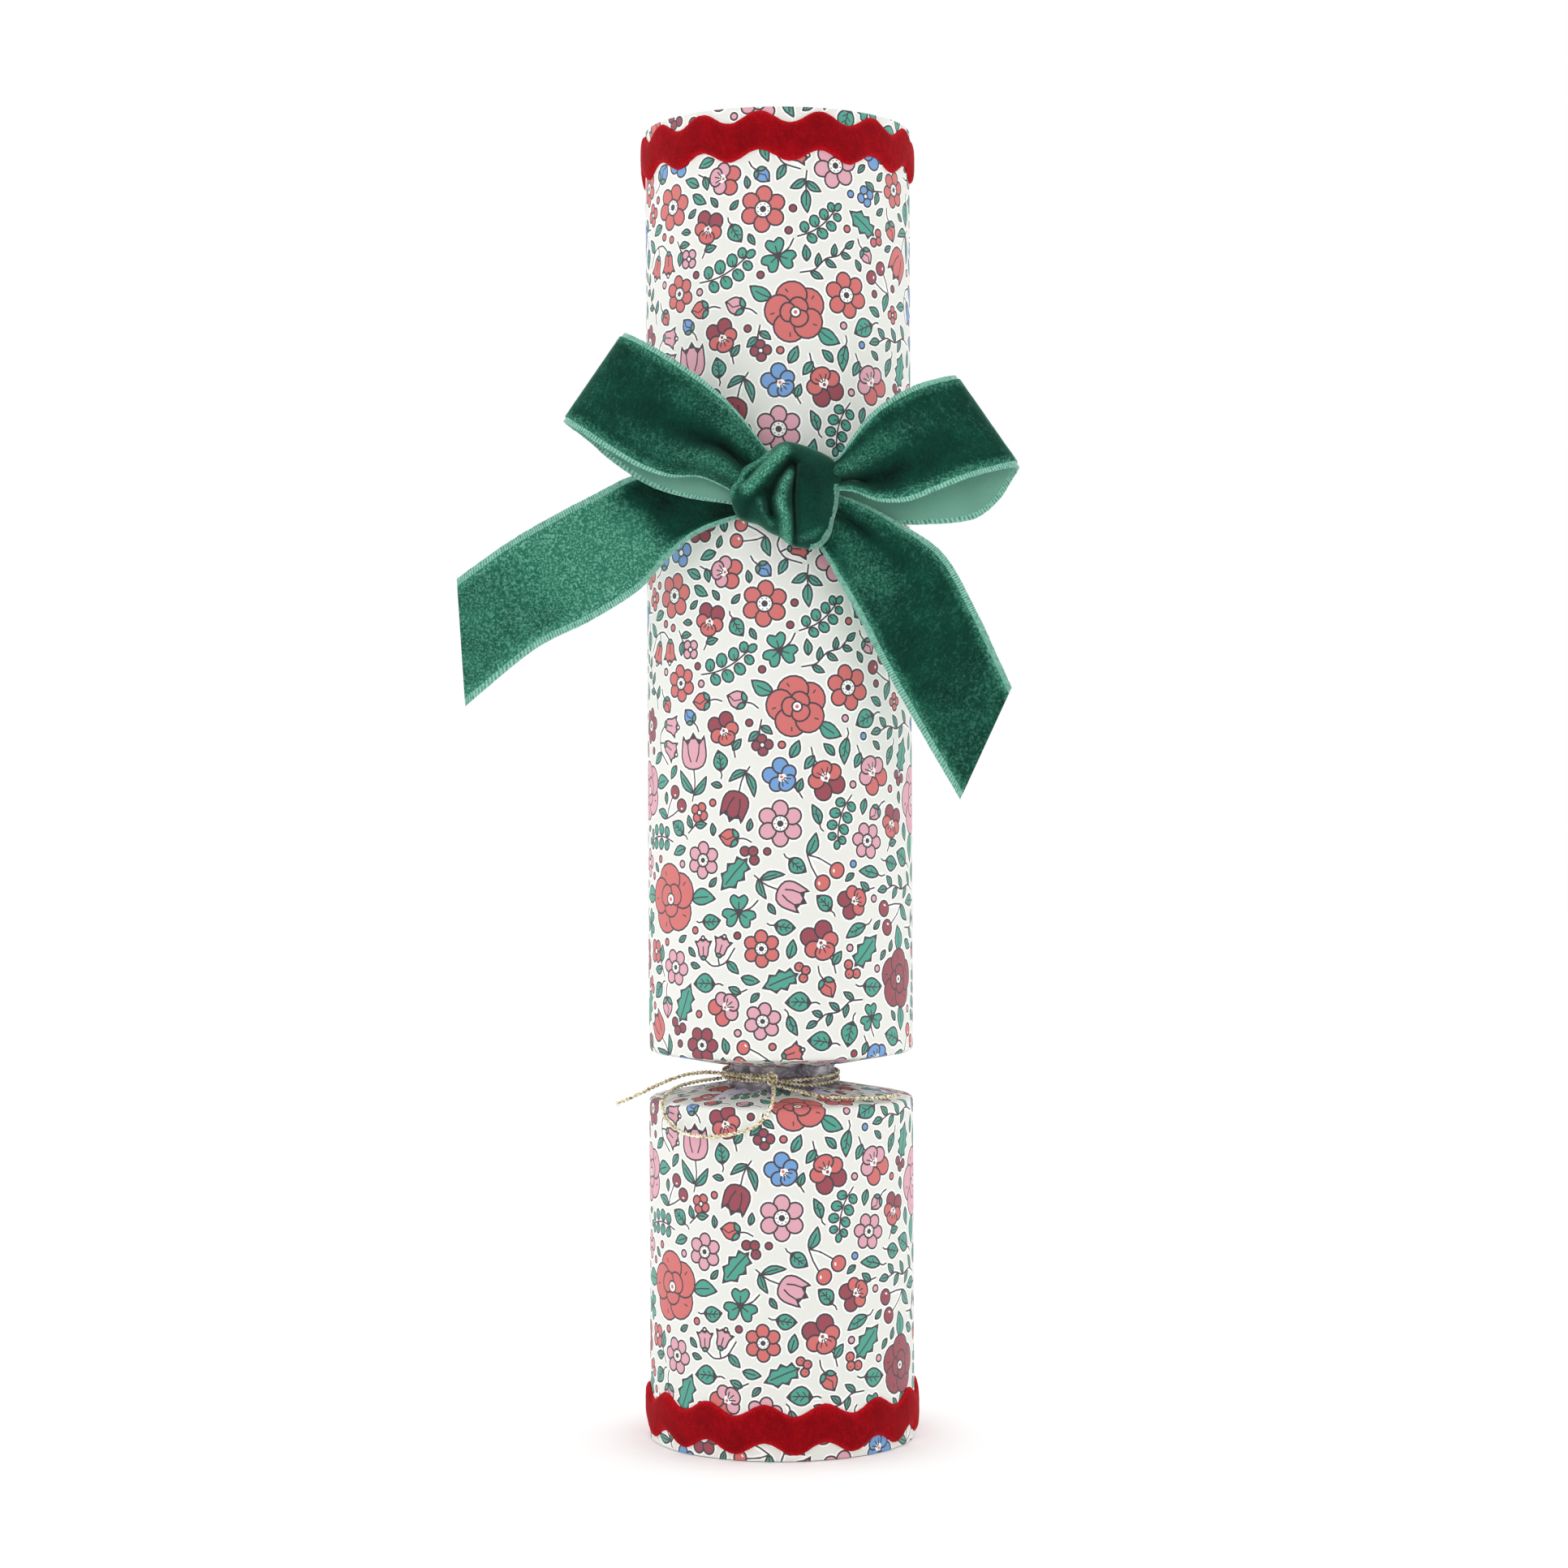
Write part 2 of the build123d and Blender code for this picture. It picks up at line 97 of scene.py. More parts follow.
CAMERA_ANGLE = 28.65
CAMERA_ROLL = 0.23
CAMERA_PLACE = (0.00095, -0.722, 0.1525)


def set_camera():
    """Level camera at mid-height, as the photograph was taken."""
    lens = bpy.data.cameras.new("camera")
    lens.angle = math.radians(CAMERA_ANGLE)
    camera = add_object("camera", lens)
    camera.location = CAMERA_PLACE
    camera.rotation_euler = (math.radians(90), math.radians(CAMERA_ROLL), 0)
    bpy.context.scene.camera = camera


def soft_light(name, place, target, size, power):
    """Large square softbox that the camera doesn't see."""
    lamp = bpy.data.lights.new(name, "AREA")
    lamp.size = size
    lamp.energy = power
    box = add_object(name, lamp)
    box.location = place
    box.rotation_euler = (Vector(target) - Vector(place)).to_track_quat("-Z", "Y").to_euler()
    box.visible_camera = False


def set_light():
    """High-key studio light from all round, with softboxes in front, at the sides and above."""
    scene = bpy.context.scene
    scene.view_settings.view_transform = "Standard"
    world = bpy.data.worlds.new("studio")
    world.use_nodes = True
    background = world.node_tree.nodes["Background"]
    background.inputs["Color"].default_value = (1.0, 1.0, 1.0, 1.0)
    background.inputs["Strength"].default_value = 1.0
    scene.world = world
    soft_light("key", (-0.4, -1.15, 0.42), (0, 0, 0.12), size=0.5, power=1.5)
    soft_light("left", (-1.1, 0.2, 0.35), (0, 0, 0.15), size=0.8, power=1.9)
    soft_light("right", (1.1, 0.2, 0.35), (0, 0, 0.15), size=0.8, power=1.6)
    soft_light("top", (0.1, 0.2, 1.4), (0, 0, 0.1), size=1.0, power=2.4)


# Node materials


def srgb(red, green, blue):
    """Linear colour of an 8-bit sRGB one."""
    linear = []
    for part in (red, green, blue):
        part /= 255
        linear.append(part / 12.92 if part <= 0.04045 else ((part + 0.055) / 1.055) ** 2.4)
    return (*linear, 1.0)


class Look:
    """Principled node material, with constant inputs set on the shader's own sockets."""

    def __init__(self, name, **values):
        self.material = bpy.data.materials.new(name)
        self.material.use_nodes = True
        self.tree = self.material.node_tree
        self.shader = self.tree.nodes["Principled BSDF"]
        for key, value in values.items():
            self.shader.inputs[key.replace("_", " ")].default_value = value

    def node(self, kind, values, **settings):
        """Outputs of a new shader node with its settings, and its inputs set or linked."""
        made = self.tree.nodes.new(f"ShaderNode{kind}")
        for key, value in settings.items():
            setattr(made, key, value)
        for key, value in values.items():
            if isinstance(value, bpy.types.NodeSocket):
                self.tree.links.new(value, made.inputs[key])
            else:
                made.inputs[key].default_value = value
        return made.outputs

    def place(self):
        """Object coordinates in metres."""
        return self.node("TexCoord", {})["Object"]

    def noise(self, scale, detail, roughness=0.55):
        """Grey noise."""
        values = {"Scale": scale, "Detail": detail, "Roughness": roughness}
        return self.node("TexNoise", {"Vector": self.place(), **values})["Fac"]

    def cells(self, vector, scale, feature):
        """Outputs of a cell texture."""
        return self.node("TexVoronoi", {"Vector": vector, "Scale": scale}, feature=feature)

    def threads(self, values):
        """Bands across the flat ribbon."""
        flat = self.node("UVMap", {}, uv_map="OFBake")["UV"]
        values = {"Vector": flat, **values}
        return self.node("TexWave", values, wave_type="BANDS", bands_direction="X")["Fac"]

    def math(self, operation, *values):
        """Result of a sum on values or sockets."""
        return self.node("Math", dict(enumerate(values)), operation=operation)[0]

    def ramp(self, value, *stops):
        """Ramp of (position, tone) stops, in which a tone is a grey level or an 8-bit colour."""
        colour = self.node("ValToRGB", {"Fac": value})["Color"]
        elements = colour.node.color_ramp.elements
        while len(elements) < len(stops):
            elements.new(0.5)
        for element, (position, tone) in zip(elements, stops):
            element.position = position
            element.color = srgb(*tone) if isinstance(tone, tuple) else (tone, tone, tone, 1.0)
        return colour

    def link(self, socket, value):
        """Feed an input of the shader."""
        self.tree.links.new(value, self.shader.inputs[socket])

    def bump(self, height, depth, strength):
        """Bump of that depth in millimetres."""
        values = {"Height": height, "Distance": depth * MM, "Strength": strength}
        self.link("Normal", self.node("Bump", values)["Normal"])


def printed_ink(name, colour):
    """Flat printing ink, or bare stock, on lightly coated paper."""
    look = Look(name, Base_Color=srgb(*colour), Specular_IOR_Level=0.45)
    fibre = look.noise(1400, 4.0)
    look.link("Roughness", look.ramp(fibre, (0.3, 0.42), (0.7, 0.58)))
    look.bump(fibre, 0.02, 0.5)
    return look.material


def crushed_paper_painted_shade(name):
    """Coated paper crushed into glossy upright creases, in facets that are partly its own grey and
    partly painted shade and painted glints.
    """
    look = Look(name, Roughness=0.26, Specular_IOR_Level=0.7)
    drawn = look.node("Mapping", {"Vector": look.place(), "Scale": (1.0, 1.0, 0.35)})["Vector"]
    painted_light_facets = look.cells(drawn, 520.0, "SMOOTH_F1")
    # Facet greys from painted shade to painted glints
    stops = [(0.15, (116, 110, 118)), (0.5, (166, 160, 170)), (0.85, (226, 222, 226))]
    look.link("Base Color", look.ramp(painted_light_facets["Color"], *stops))
    look.bump(painted_light_facets["Distance"], 0.5, 0.7)
    return look.material


def fibrous_paper(name, dark, light, scale, roughness, depth):
    """Uncoated paper or board with fibres and cloudy tone."""
    look = Look(name, Roughness=roughness, Specular_IOR_Level=0.25)
    cloud, fibre = look.noise(scale / 12, 2.0), look.noise(scale, 6.0, 0.7)
    half = look.math("MULTIPLY", look.math("ADD", cloud, fibre), 0.5)
    look.link("Base Color", look.ramp(half, (0.35, dark), (0.65, light)))
    look.bump(fibre, depth, 0.6)
    return look.material


def velvet(name, dark, mid, bright, painted_glint_colour, sheen):
    """Short-pile velvet: dark in the pile, lighter where its painted light value is high, with
    painted glints.
    """
    shine = {"Sheen_Weight": 0.55, "Sheen_Roughness": 0.38, "Sheen_Tint": srgb(*sheen)}
    look = Look(name, Roughness=0.92, Specular_IOR_Level=0.12, **shine)
    # Painted light and shade value on each point of the mesh, with some random pile tone
    lay_and_painted_light = look.node("Attribute", {}, attribute_name="lay_and_painted_light")["Fac"]
    brush, pile = look.noise(160, 2.0), look.noise(2000, 2.0, 0.7)
    brush_and_painted_light = look.math("MULTIPLY_ADD", brush, 0.45, lay_and_painted_light)
    tone = look.math("MULTIPLY_ADD", pile, 0.5, brush_and_painted_light)
    body = look.ramp(tone, (0.25, dark), (0.6, mid), (1.0, bright))
    # Painted glints: pale specks mixed into the colour where the painted light is high
    painted_glint = look.ramp(pile, (0.47, 0.0), (0.66, 1.0))
    lit = look.ramp(lay_and_painted_light, (0.1, 0.0), (0.7, 0.85))
    values = {"Factor": look.math("MULTIPLY", painted_glint, lit), "A": body, "B": srgb(*painted_glint_colour)}
    look.link("Base Color", look.node("Mix", values, data_type="RGBA")["Result"])
    look.bump(pile, 0.12, 0.7)
    return look.material


def satin(name, dark, light):
    """Smooth woven back of the ribbon, with fine ribs across it."""
    shine = {"Sheen_Weight": 0.2, "Sheen_Roughness": 0.3, "Sheen_Tint": srgb(200, 235, 222)}
    look = Look(name, Specular_IOR_Level=0.5, **shine)
    ribs = look.threads({"Scale": 105.0, "Distortion": 0.3, "Detail": 1.0})
    cloud = look.noise(60, 2.0)
    both = look.math("MULTIPLY_ADD", ribs, 0.3, cloud)
    look.link("Base Color", look.ramp(both, (0.1, dark), (1.0, light)))
    look.link("Roughness", look.ramp(cloud, (0.3, 0.34), (0.7, 0.5)))
    look.bump(ribs, 0.03, 0.5)
    return look.material


def woven_edge(name, dark, light):
    """Pale looped selvedge of the ribbon."""
    shine = {"Sheen_Weight": 0.5, "Sheen_Roughness": 0.4}
    look = Look(name, Roughness=0.7, Specular_IOR_Level=0.3, **shine)
    threads = look.threads({"Scale": 48.0, "Distortion": 1.2, "Detail": 2.0, "Detail Scale": 3.0})
    both = look.math("MULTIPLY_ADD", threads, 0.45, look.noise(1500, 2.0))
    look.link("Base Color", look.ramp(both, (0.4, dark), (0.95, light)))
    look.bump(both, 0.15, 0.8)
    return look.material


def gold_thread(name):
    """Champagne metallic thread; its small facets carry painted glints and painted shade."""
    look = Look(name, Metallic=0.45)
    painted_glitter = look.cells(look.place(), 2600.0, "F1")["Color"]
    sparkle = look.noise(1900, 2.0)
    # Facet colours from painted shade to painted glints
    stops = [(0.2, (138, 120, 76)), (0.45, (220, 205, 158)), (0.75, (254, 250, 234))]
    look.link("Base Color", look.ramp(painted_glitter, *stops))
    look.link("Roughness", look.ramp(sparkle, (0.3, 0.2), (0.7, 0.46)))
    look.bump(sparkle, 0.06, 0.7)
    return look.material


def tissue(name, dark, light):
    """Thin crinkled tissue paper."""
    shine = {"Sheen_Weight": 0.2, "Sheen_Roughness": 0.5}
    look = Look(name, Roughness=0.6, Specular_IOR_Level=0.3, **shine)
    crinkle = look.cells(look.place(), 240.0, "DISTANCE_TO_EDGE")["Distance"]
    look.link("Base Color", look.ramp(look.noise(130, 4.0), (0.3, dark), (0.7, light)))
    look.bump(crinkle, 0.5, 0.5)
    return look.material


def turned_wood(name, dark, light):
    """Small turned beech piece with its rings."""
    look = Look(name, Specular_IOR_Level=0.4, Coat_Weight=0.2, Coat_Roughness=0.25)
    values = {"Scale": 190.0, "Distortion": 5.0, "Detail": 3.0, "Detail Scale": 1.4}
    values = {"Vector": look.place(), **values}
    rings = look.node("TexWave", values, wave_type="RINGS", rings_direction="Y")["Fac"]
    look.link("Base Color", look.ramp(rings, (0.2, dark), (0.8, light)))
    look.link("Roughness", look.ramp(rings, (0.0, 0.35), (1.0, 0.5)))
    look.bump(rings, 0.04, 0.4)
    return look.material


def floor_material():
    """Plain white studio floor with a faint tone."""
    look = Look("studio_floor", Roughness=0.8, Specular_IOR_Level=0.1)
    look.link("Base Color", look.ramp(look.noise(6, 2.0), (0.3, 0.995), (0.7, 1.0)))
    return look.material


INKS = {
    "ground": ("paper_ground", (222, 223, 217)),
    "halo": ("paper_halo", (241, 242, 239)),
    "line": ("ink_outline", (62, 56, 62)),
    "coral": ("ink_coral", (202, 105, 103)),
    "burgundy": ("ink_burgundy", (146, 66, 78)),
    "pink": ("ink_pink", (215, 159, 173)),
    "blue": ("ink_blue", (105, 152, 204)),
    "green": ("ink_green", (70, 155, 136)),
    # Lilac lining seen in the slits, painted paler than the lining itself as painted light against
    # the shade of the shoulders
    "slit": ("lilac_in_slit_painted_light", (222, 214, 246)),
}


def print_materials():
    """Materials of the printed paper by ink."""
    made = {ink: printed_ink(name, colour) for ink, (name, colour) in INKS.items()}
    # Crushed neck: greyer than the paper, partly painted shade, with painted glints
    made["neck"] = crushed_paper_painted_shade("crushed_neck_painted_shade")
    return made


# Meshes


def build_mesh(name, points, faces, materials, slots=None, loop_normals=None, uv=None, lay_and_painted_light=None):
    """Mesh object from millimetre points, with a material slot for each face."""
    mesh = bpy.data.meshes.new(name)
    mesh.from_pydata([(x * MM, y * MM, z * MM) for x, y, z in points], [], faces)
    for material in materials:
        mesh.materials.append(material)
    if slots:
        mesh.polygons.foreach_set("material_index", slots)
    mesh.polygons.foreach_set("use_smooth", [True] * len(faces))
    if uv:
        layer = mesh.uv_layers.new(name="OFBake")
        layer.data.foreach_set("uv", [part for pair in uv for part in pair])
    # Per-point painted light and shade value, read by the velvet
    if lay_and_painted_light:
        mesh.attributes.new("lay_and_painted_light", "FLOAT", "POINT").data.foreach_set("value", lay_and_painted_light)
    if loop_normals:
        mesh.normals_split_custom_set(loop_normals)
    return add_object(name, mesh)


def grid_faces(rows, columns, close_rows=False, close_columns=False, base=0):
    """Quads of a grid of points, row after row, counted from a base."""
    faces = []
    for i in range(rows if close_rows else rows - 1):
        for j in range(columns if close_columns else columns - 1):
            low, high = base + i * columns, base + (i + 1) % rows * columns
            right = (j + 1) % columns
            faces.append((low + j, low + right, high + right, high + j))
    return faces


def tube_faces(rows, around, base):
    """Quads round a tube, and a cap on each end."""
    last = base + (rows - 1) * around
    caps = [tuple(reversed(range(base, base + around))), tuple(range(last, last + around))]
    return grid_faces(rows, around, close_columns=True, base=base) + caps


def round_axis(radius, angle, height):
    """Point at an angle from the front of the cracker."""
    return Vector((radius * math.sin(angle), -radius * math.cos(angle), height))


# Outline of the paper, from flat sheet to tube


class Profile:
    """Rounded outline of (radius, height) points, measured along its length."""

    def __init__(self, corners, radii):
        corners = [Vector(corner) for corner in corners]
        points = [corners[0]]
        self.bends = []
        for before, corner, after, radius in zip(corners, corners[1:], corners[2:], radii):
            back = (before - corner).normalized()
            ahead = (after - corner).normalized()
            reach = radius / math.tan(back.angle(ahead) / 2)
            for step in range(BEND_STEPS + 1):
                share = step / BEND_STEPS
                start = mix(corner + back * reach, corner, share)
                points.append(mix(start, mix(corner, corner + ahead * reach, share), share))
            self.bends.append((len(points) - BEND_STEPS - 1, len(points) - 1))
        points.append(corners[-1])
        self.points = points
        self.run = [0.0]
        for start, end in zip(points, points[1:]):
            self.run.append(self.run[-1] + (end - start).length)
        self.length = self.run[-1]

    def at(self, along):
        """Point and outward normal at a distance along the outline."""
        i = min(max(bisect.bisect_right(self.run, along) - 1, 0), len(self.points) - 2)
        start, end = self.points[i], self.points[i + 1]
        ahead = (end - start).normalized()
        return start + ahead * (along - self.run[i]), Vector((ahead.y, -ahead.x))

    def at_radius(self, radius, first):
        """Distance along at which the outline has that radius, on its first or last shoulder."""
        order = range(len(self.points) - 1)
        for i in order if first else reversed(order):
            low, high = sorted((self.points[i].x, self.points[i + 1].x))
            if low <= radius <= high and high - low > 1e-6:
                share = (radius - self.points[i].x) / (self.points[i + 1].x - self.points[i].x)
                return mix(self.run[i], self.run[i + 1], share)
        return 0.0


class Gather:
    """Radial folds that draw a shoulder in to its neck, deeper towards the neck."""

    def __init__(self, seed, count=25):
        chance = random.Random(seed)
        step = math.tau / count
        self.folds = []
        for k in range(count):
            angle = (k + chance.uniform(-0.3, 0.3)) * step - math.pi
            start = chance.uniform(0.0, 0.5)
            depth = chance.uniform(0.35, 1.0)
            half = chance.uniform(0.3, 0.48) * step
            self.folds.append((angle, start, depth, half, chance.uniform(-0.14, 0.14)))

    def depth(self, angle, drawn):
        """How far the paper is folded inwards."""
        total = 0.0
        for fold, start, depth, half, drift in self.folds:
            if drawn > start:
                away = angle - fold - drift * (drawn - start)
                away = abs((away + math.pi) % math.tau - math.pi)
                if away < half:
                    total += depth * smooth((drawn - start) / (1 - start)) * (1 - away / half)
        return total


class Section:
    """One drum of the paper: where a point of the flat sheet lies on it."""

    def __init__(self, corners, radii, gathers, start):
        self.profile = Profile(corners, radii)
        self.gathers = gathers
        self.start = start
        self.end = start + self.profile.length
        ends = {True: self.profile.points[0], False: self.profile.points[-1]}
        self.necks = [first for first, point in ends.items() if point.x < WRAP_RADIUS - 1]

    def gather_at(self, along):
        """Gather of the nearer shoulder."""
        return self.gathers[0 if along < self.profile.length / 2 else -1]

    def place(self, u, v, sink=0.0):
        """Point of the tube under the sheet's point (u, v), sunk below the printed face."""
        along = v - self.start
        (radius, height), normal = self.profile.at(along)
        angle = (u - SHEET_WIDTH / 2) / WRAP_RADIUS
        rise = -sink
        drawn = (WRAP_RADIUS - radius) / (WRAP_RADIUS - NECK_RADIUS)
        if drawn > 0.001:
            rise -= self.gather_at(along).depth(angle, drawn)
        if drawn > CRUMPLE_FROM:
            spot = Vector((9 * math.cos(angle), 9 * math.sin(angle), 0.9 * height))
            rise -= smooth((drawn - CRUMPLE_FROM) / CRUMPLE_OVER) * (0.5 + noise.noise(spot))
        if u > SHEET_WIDTH - LAP_EASE:
            rise += LAP_RISE * smooth((u - SHEET_WIDTH + LAP_EASE) / LAP_EASE)
        radius += normal.x * rise
        height += normal.y * rise
        return round_axis(radius, angle, height)

    def normal(self, u, v):
        """Outward normal of the printed face."""
        low, high = max(v - 0.05, self.start), min(v + 0.05, self.end)
        across = self.place(u + 0.05, v) - self.place(u - 0.05, v)
        along = self.place(u, high) - self.place(u, low)
        return across.cross(along).normalized()


def make_sections():
    """Lower end, barrel and upper end, in the order they follow each other on the sheet."""

    def shoulder(choke, side):
        """Corners from the tear in a neck out to the drum."""
        steps = ((NECK_RADIUS, TEAR), (NECK_RADIUS, NECK_HALF), (WRAP_RADIUS, CHOKE_HALF))
        return [(radius, choke + side * away) for radius, away in steps]

    crease, neck = 1.3, 0.6
    corners = [(WRAP_RADIUS, 0.0), *reversed(shoulder(LOWER_CHOKE, -1))]
    lower = Section(corners, [crease, neck], [Gather(3)], 0.0)
    corners = [*shoulder(LOWER_CHOKE, 1), *reversed(shoulder(UPPER_CHOKE, -1))]
    barrel = Section(corners, [neck, crease, crease, neck], [Gather(5), Gather(8)], lower.end)
    corners = [*shoulder(UPPER_CHOKE, 1), (WRAP_RADIUS, LENGTH)]
    upper = Section(corners, [neck, crease], [Gather(13)], barrel.end)
    return lower, barrel, upper


# Printed pattern: a tossed winter posy of the builder's own, in a half-drop repeat

LINE = 0.42
HALO = 0.42
GAP = 0.22
INK_SLACK = 0.055
HALO_SLACK = 0.2
TILE_WIDTH = SHEET_WIDTH / 2
TILE_HEIGHT = 118.0
CELL = 0.5
SAMPLE = 0.45
FIRST_LOOK = 24
MOTIF_REACH = 16
FRONT_COLUMNS = 40
BACK_COLUMNS = 160
QUARTERS = (0.25, 0.5, 0.75)
UV_SPAN = 210


def moved(points, x, y, turn=0.0, scale=1.0):
    """Points turned by degrees, scaled and shifted."""
    cosine, sine = math.cos(math.radians(turn)) * scale, math.sin(math.radians(turn)) * scale
    return [(x + a * cosine - b * sine, y + a * sine + b * cosine) for a, b in points]


def oval(x, y, across, along=None, turn=0.0, count=16):
    """Ellipse."""
    along = across if along is None else along
    swings = [math.tau * k / count for k in range(count)]
    ring = [(across * math.cos(swing), along * math.sin(swing)) for swing in swings]
    return moved(ring, x, y, turn)


def mirrored(points):
    """The other side of a drawing, in the order that goes on round it."""
    return [(-x, y) for x, y in reversed(points)]


def curved(points, closed=True, steps=3):
    """Smooth line through points; a point given twice stays a corner."""
    count = len(points)
    result = []
    for i in range(count if closed else count - 1):
        picks = [i - 1, i, i + 1, i + 2]
        picks = [k % count if closed else min(max(k, 0), count - 1) for k in picks]
        a, b, c, d = (Vector(points[k]) for k in picks)
        if (c - b).length < 1e-6:
            continue
        for step in range(steps):
            result.append(tuple(spline_at(a, b, c, d, step / steps)))
    if not closed:
        result.append(tuple(points[-1]))
    return result


def off_line(x, y, line):
    """Distance of a point from a line of points."""
    spot = Vector((x, y))
    least = 1e9
    for start, end in zip(line, line[1:]):
        start, run = Vector(start), Vector(end) - Vector(start)
        share = min(max((spot - start).dot(run) / max(run.length_squared, 1e-12), 0.0), 1.0)
        least = min(least, (spot - start - run * share).length)
    return least


def grown(points, distance):
    """Closed outline moved outwards, less the points that another side leaves no room for."""
    count = len(points)
    ring = [*points, points[0]]
    result = []
    for i in range(count):
        before, after = Vector(points[i - 1]), Vector(points[(i + 1) % count])
        here, ahead = Vector(points[i]), (after - before).normalized()
        spot = (here.x + ahead.y * distance, here.y - ahead.x * distance)
        if off_line(*spot, ring) > 0.8 * abs(distance):
            result.append(spot)
    return result


def thinned(points, slack):
    """Closed outline without the points that hardly bend it."""
    kept, skipped = [points[0]], []
    for k in range(1, len(points)):
        skipped.append(points[k])
        chord = [kept[-1], points[(k + 1) % len(points)]]
        if max(off_line(*spot, chord) for spot in skipped) > slack:
            kept.append(points[k])
            skipped = []
    return kept


def stroked(points, width):
    """Outline of a pen line."""
    right, left = [], []
    for i, point in enumerate(points):
        before, after = Vector(points[max(i - 1, 0)]), Vector(points[min(i + 1, len(points) - 1)])
        ahead = (after - before).normalized() * (width / 2)
        right.append((point[0] + ahead.y, point[1] - ahead.x))
        left.append((point[0] - ahead.y, point[1] + ahead.x))
    return right + left[::-1]


def blade(length, width, bend=0.0, count=11):
    """Pointed leaf from the origin along +y."""
    right, left = [], []
    for k in range(count + 1):
        t = k / count
        half = width / 2 * math.sin(math.pi * t**0.85)
        x = bend * math.sin(math.pi * t)
        right.append((x + half, length * t))
        left.append((x - half, length * t))
    return right + left[-2:0:-1]


class Motif:
    """Drawing in layers: white halo below, then outlined fills and pen lines in painting order."""

    def __init__(self, size):
        self.size = size
        self.halos = []
        self.layers = []
        self.claims = []

    def drawn(self, points):
        """Points of the drawing at the size it is printed."""
        return [(x * self.size, y * self.size) for x, y in points]

    def shape(self, ink, points):
        """Outlined fill."""
        points = self.drawn(points)
        self.halos.append(thinned(grown(points, LINE / 2 + HALO), HALO_SLACK))
        self.claims.append((True, grown(points, LINE / 2 + GAP)))
        self.layers.append(("line", thinned(grown(points, LINE / 2), INK_SLACK)))
        self.layers.append((ink, thinned(grown(points, -LINE / 2), INK_SLACK)))

    def fill(self, ink, points):
        """Fill with no outline, on top of a shape."""
        self.layers.append((ink, self.drawn(points)))

    def stem(self, points):
        """Pen line with its own halo."""
        line = curved(self.drawn(points), closed=False, steps=5)
        self.halos.append(thinned(stroked(line, LINE + 2 * HALO), HALO_SLACK))
        self.claims.append((False, stroked(line, LINE + 2 * GAP)))
        self.layers.append(("line", thinned(stroked(line, LINE * 0.9), INK_SLACK)))

    def vein(self, points, width=0.3, ink="line"):
        """Pen line on top of a shape."""
        self.layers.append((ink, stroked(self.drawn(points), width)))

    def leaf(self, x, y, turn, length, width, bend=0.0):
        """Green leaf with its midrib."""
        self.shape("green", moved(blade(length, width, bend), x, y, turn))
        rib = [(0, 0), (bend * 0.7, length * 0.35), (bend * 0.9, length * 0.7)]
        self.vein(moved(rib, x, y, turn))

    def samples(self):
        """Points all over the drawing, closer together than the cells that they claim."""
        spread = []
        for solid, outline in self.claims:
            for start, end in zip(outline, outline[1:] + outline[:1]):
                start, end = Vector(start), Vector(end)
                parts = math.ceil((end - start).length / SAMPLE)
                spread += [tuple(mix(start, end, k / parts)) for k in range(parts)]
            if solid:
                middle = sum(map(Vector, outline), Vector((0, 0))) / len(outline)
                widest = max((Vector(point) - middle).length for point in outline)
                rings = math.ceil(widest / SAMPLE)
                for ring in range(rings):
                    spread += [tuple(mix(middle, Vector(point), ring / rings)) for point in outline]
        return spread

    def moved(self, x, y, turn):
        """Copy at another place."""
        copy = Motif(self.size)
        copy.halos = [moved(points, x, y, turn) for points in self.halos]
        copy.layers = [(ink, moved(points, x, y, turn)) for ink, points in self.layers]
        return copy


def painted(draw):
    """Maker of a motif by ink and size, from a function that draws it."""

    def make(ink, size):
        motif = Motif(size)
        draw(motif, ink)
        return motif

    return make


@painted
def camellia(motif, ink):
    """Full rose of overlapping round petals."""
    motif.leaf(4.6, 3.0, -50, 5.4, 3.0, 0.4)
    motif.leaf(-4.2, -3.4, 128, 5.0, 2.8, -0.4)
    for k in range(5):
        turn = 72 * k + 10
        motif.shape(ink, moved(oval(0, 3.35, 3.1, 2.75), 0, 0, turn))
        motif.vein(moved([(-0.9, 4.9), (-0.55, 4.1)], 0, 0, turn))
    for k in range(3):
        motif.shape(ink, moved(oval(0, 1.45, 1.9, 1.6, count=14), 0, 0, 120 * k + 40))
    motif.shape("halo", oval(0, 0, 1.0, count=13))
    motif.fill(ink, oval(0, 0, 0.4, count=9))


@painted
def anemone(motif, ink):
    """Six round petals about a dark eye."""
    for k in range(6):
        motif.shape(ink, moved(oval(0, 3.1, 1.75, 1.9, count=15), 0, 0, 60 * k))
    motif.shape("halo", oval(0, 0, 1.75, count=18))
    motif.fill("line", oval(0, 0, 0.72, count=11))
    for k in range(8):
        motif.fill("line", moved(oval(0, 1.18, 0.17, count=5), 0, 0, 45 * k))


@painted
def pansy(motif, ink):
    """Five-petalled pansy with a light face."""
    back = {"pink": "coral", "blue": "blue", "coral": "burgundy"}[ink]
    motif.stem([(0, -2.0), (0.6, -5.0), (0.1, -7.6)])
    motif.leaf(0.3, -5.6, -62, 3.6, 1.9)
    for side in (-1, 1):
        motif.shape(back, oval(1.75 * side, 2.15, 1.95, 2.05, count=15))
    for side in (-1, 1):
        motif.shape(ink, oval(2.15 * side, -0.55, 1.85, 1.75, count=15))
    motif.shape(ink, oval(0, -2.2, 2.35, 1.75, count=18))
    motif.fill("halo", oval(0, -0.45, 1.15, 0.95, count=13))
    for turn in (-38, 0, 38):
        motif.vein(moved([(0, -0.5), (0, -2.5)], 0, -0.3, turn, 0.9))
    motif.fill("coral" if ink != "coral" else "burgundy", oval(0, -0.1, 0.42, count=9))


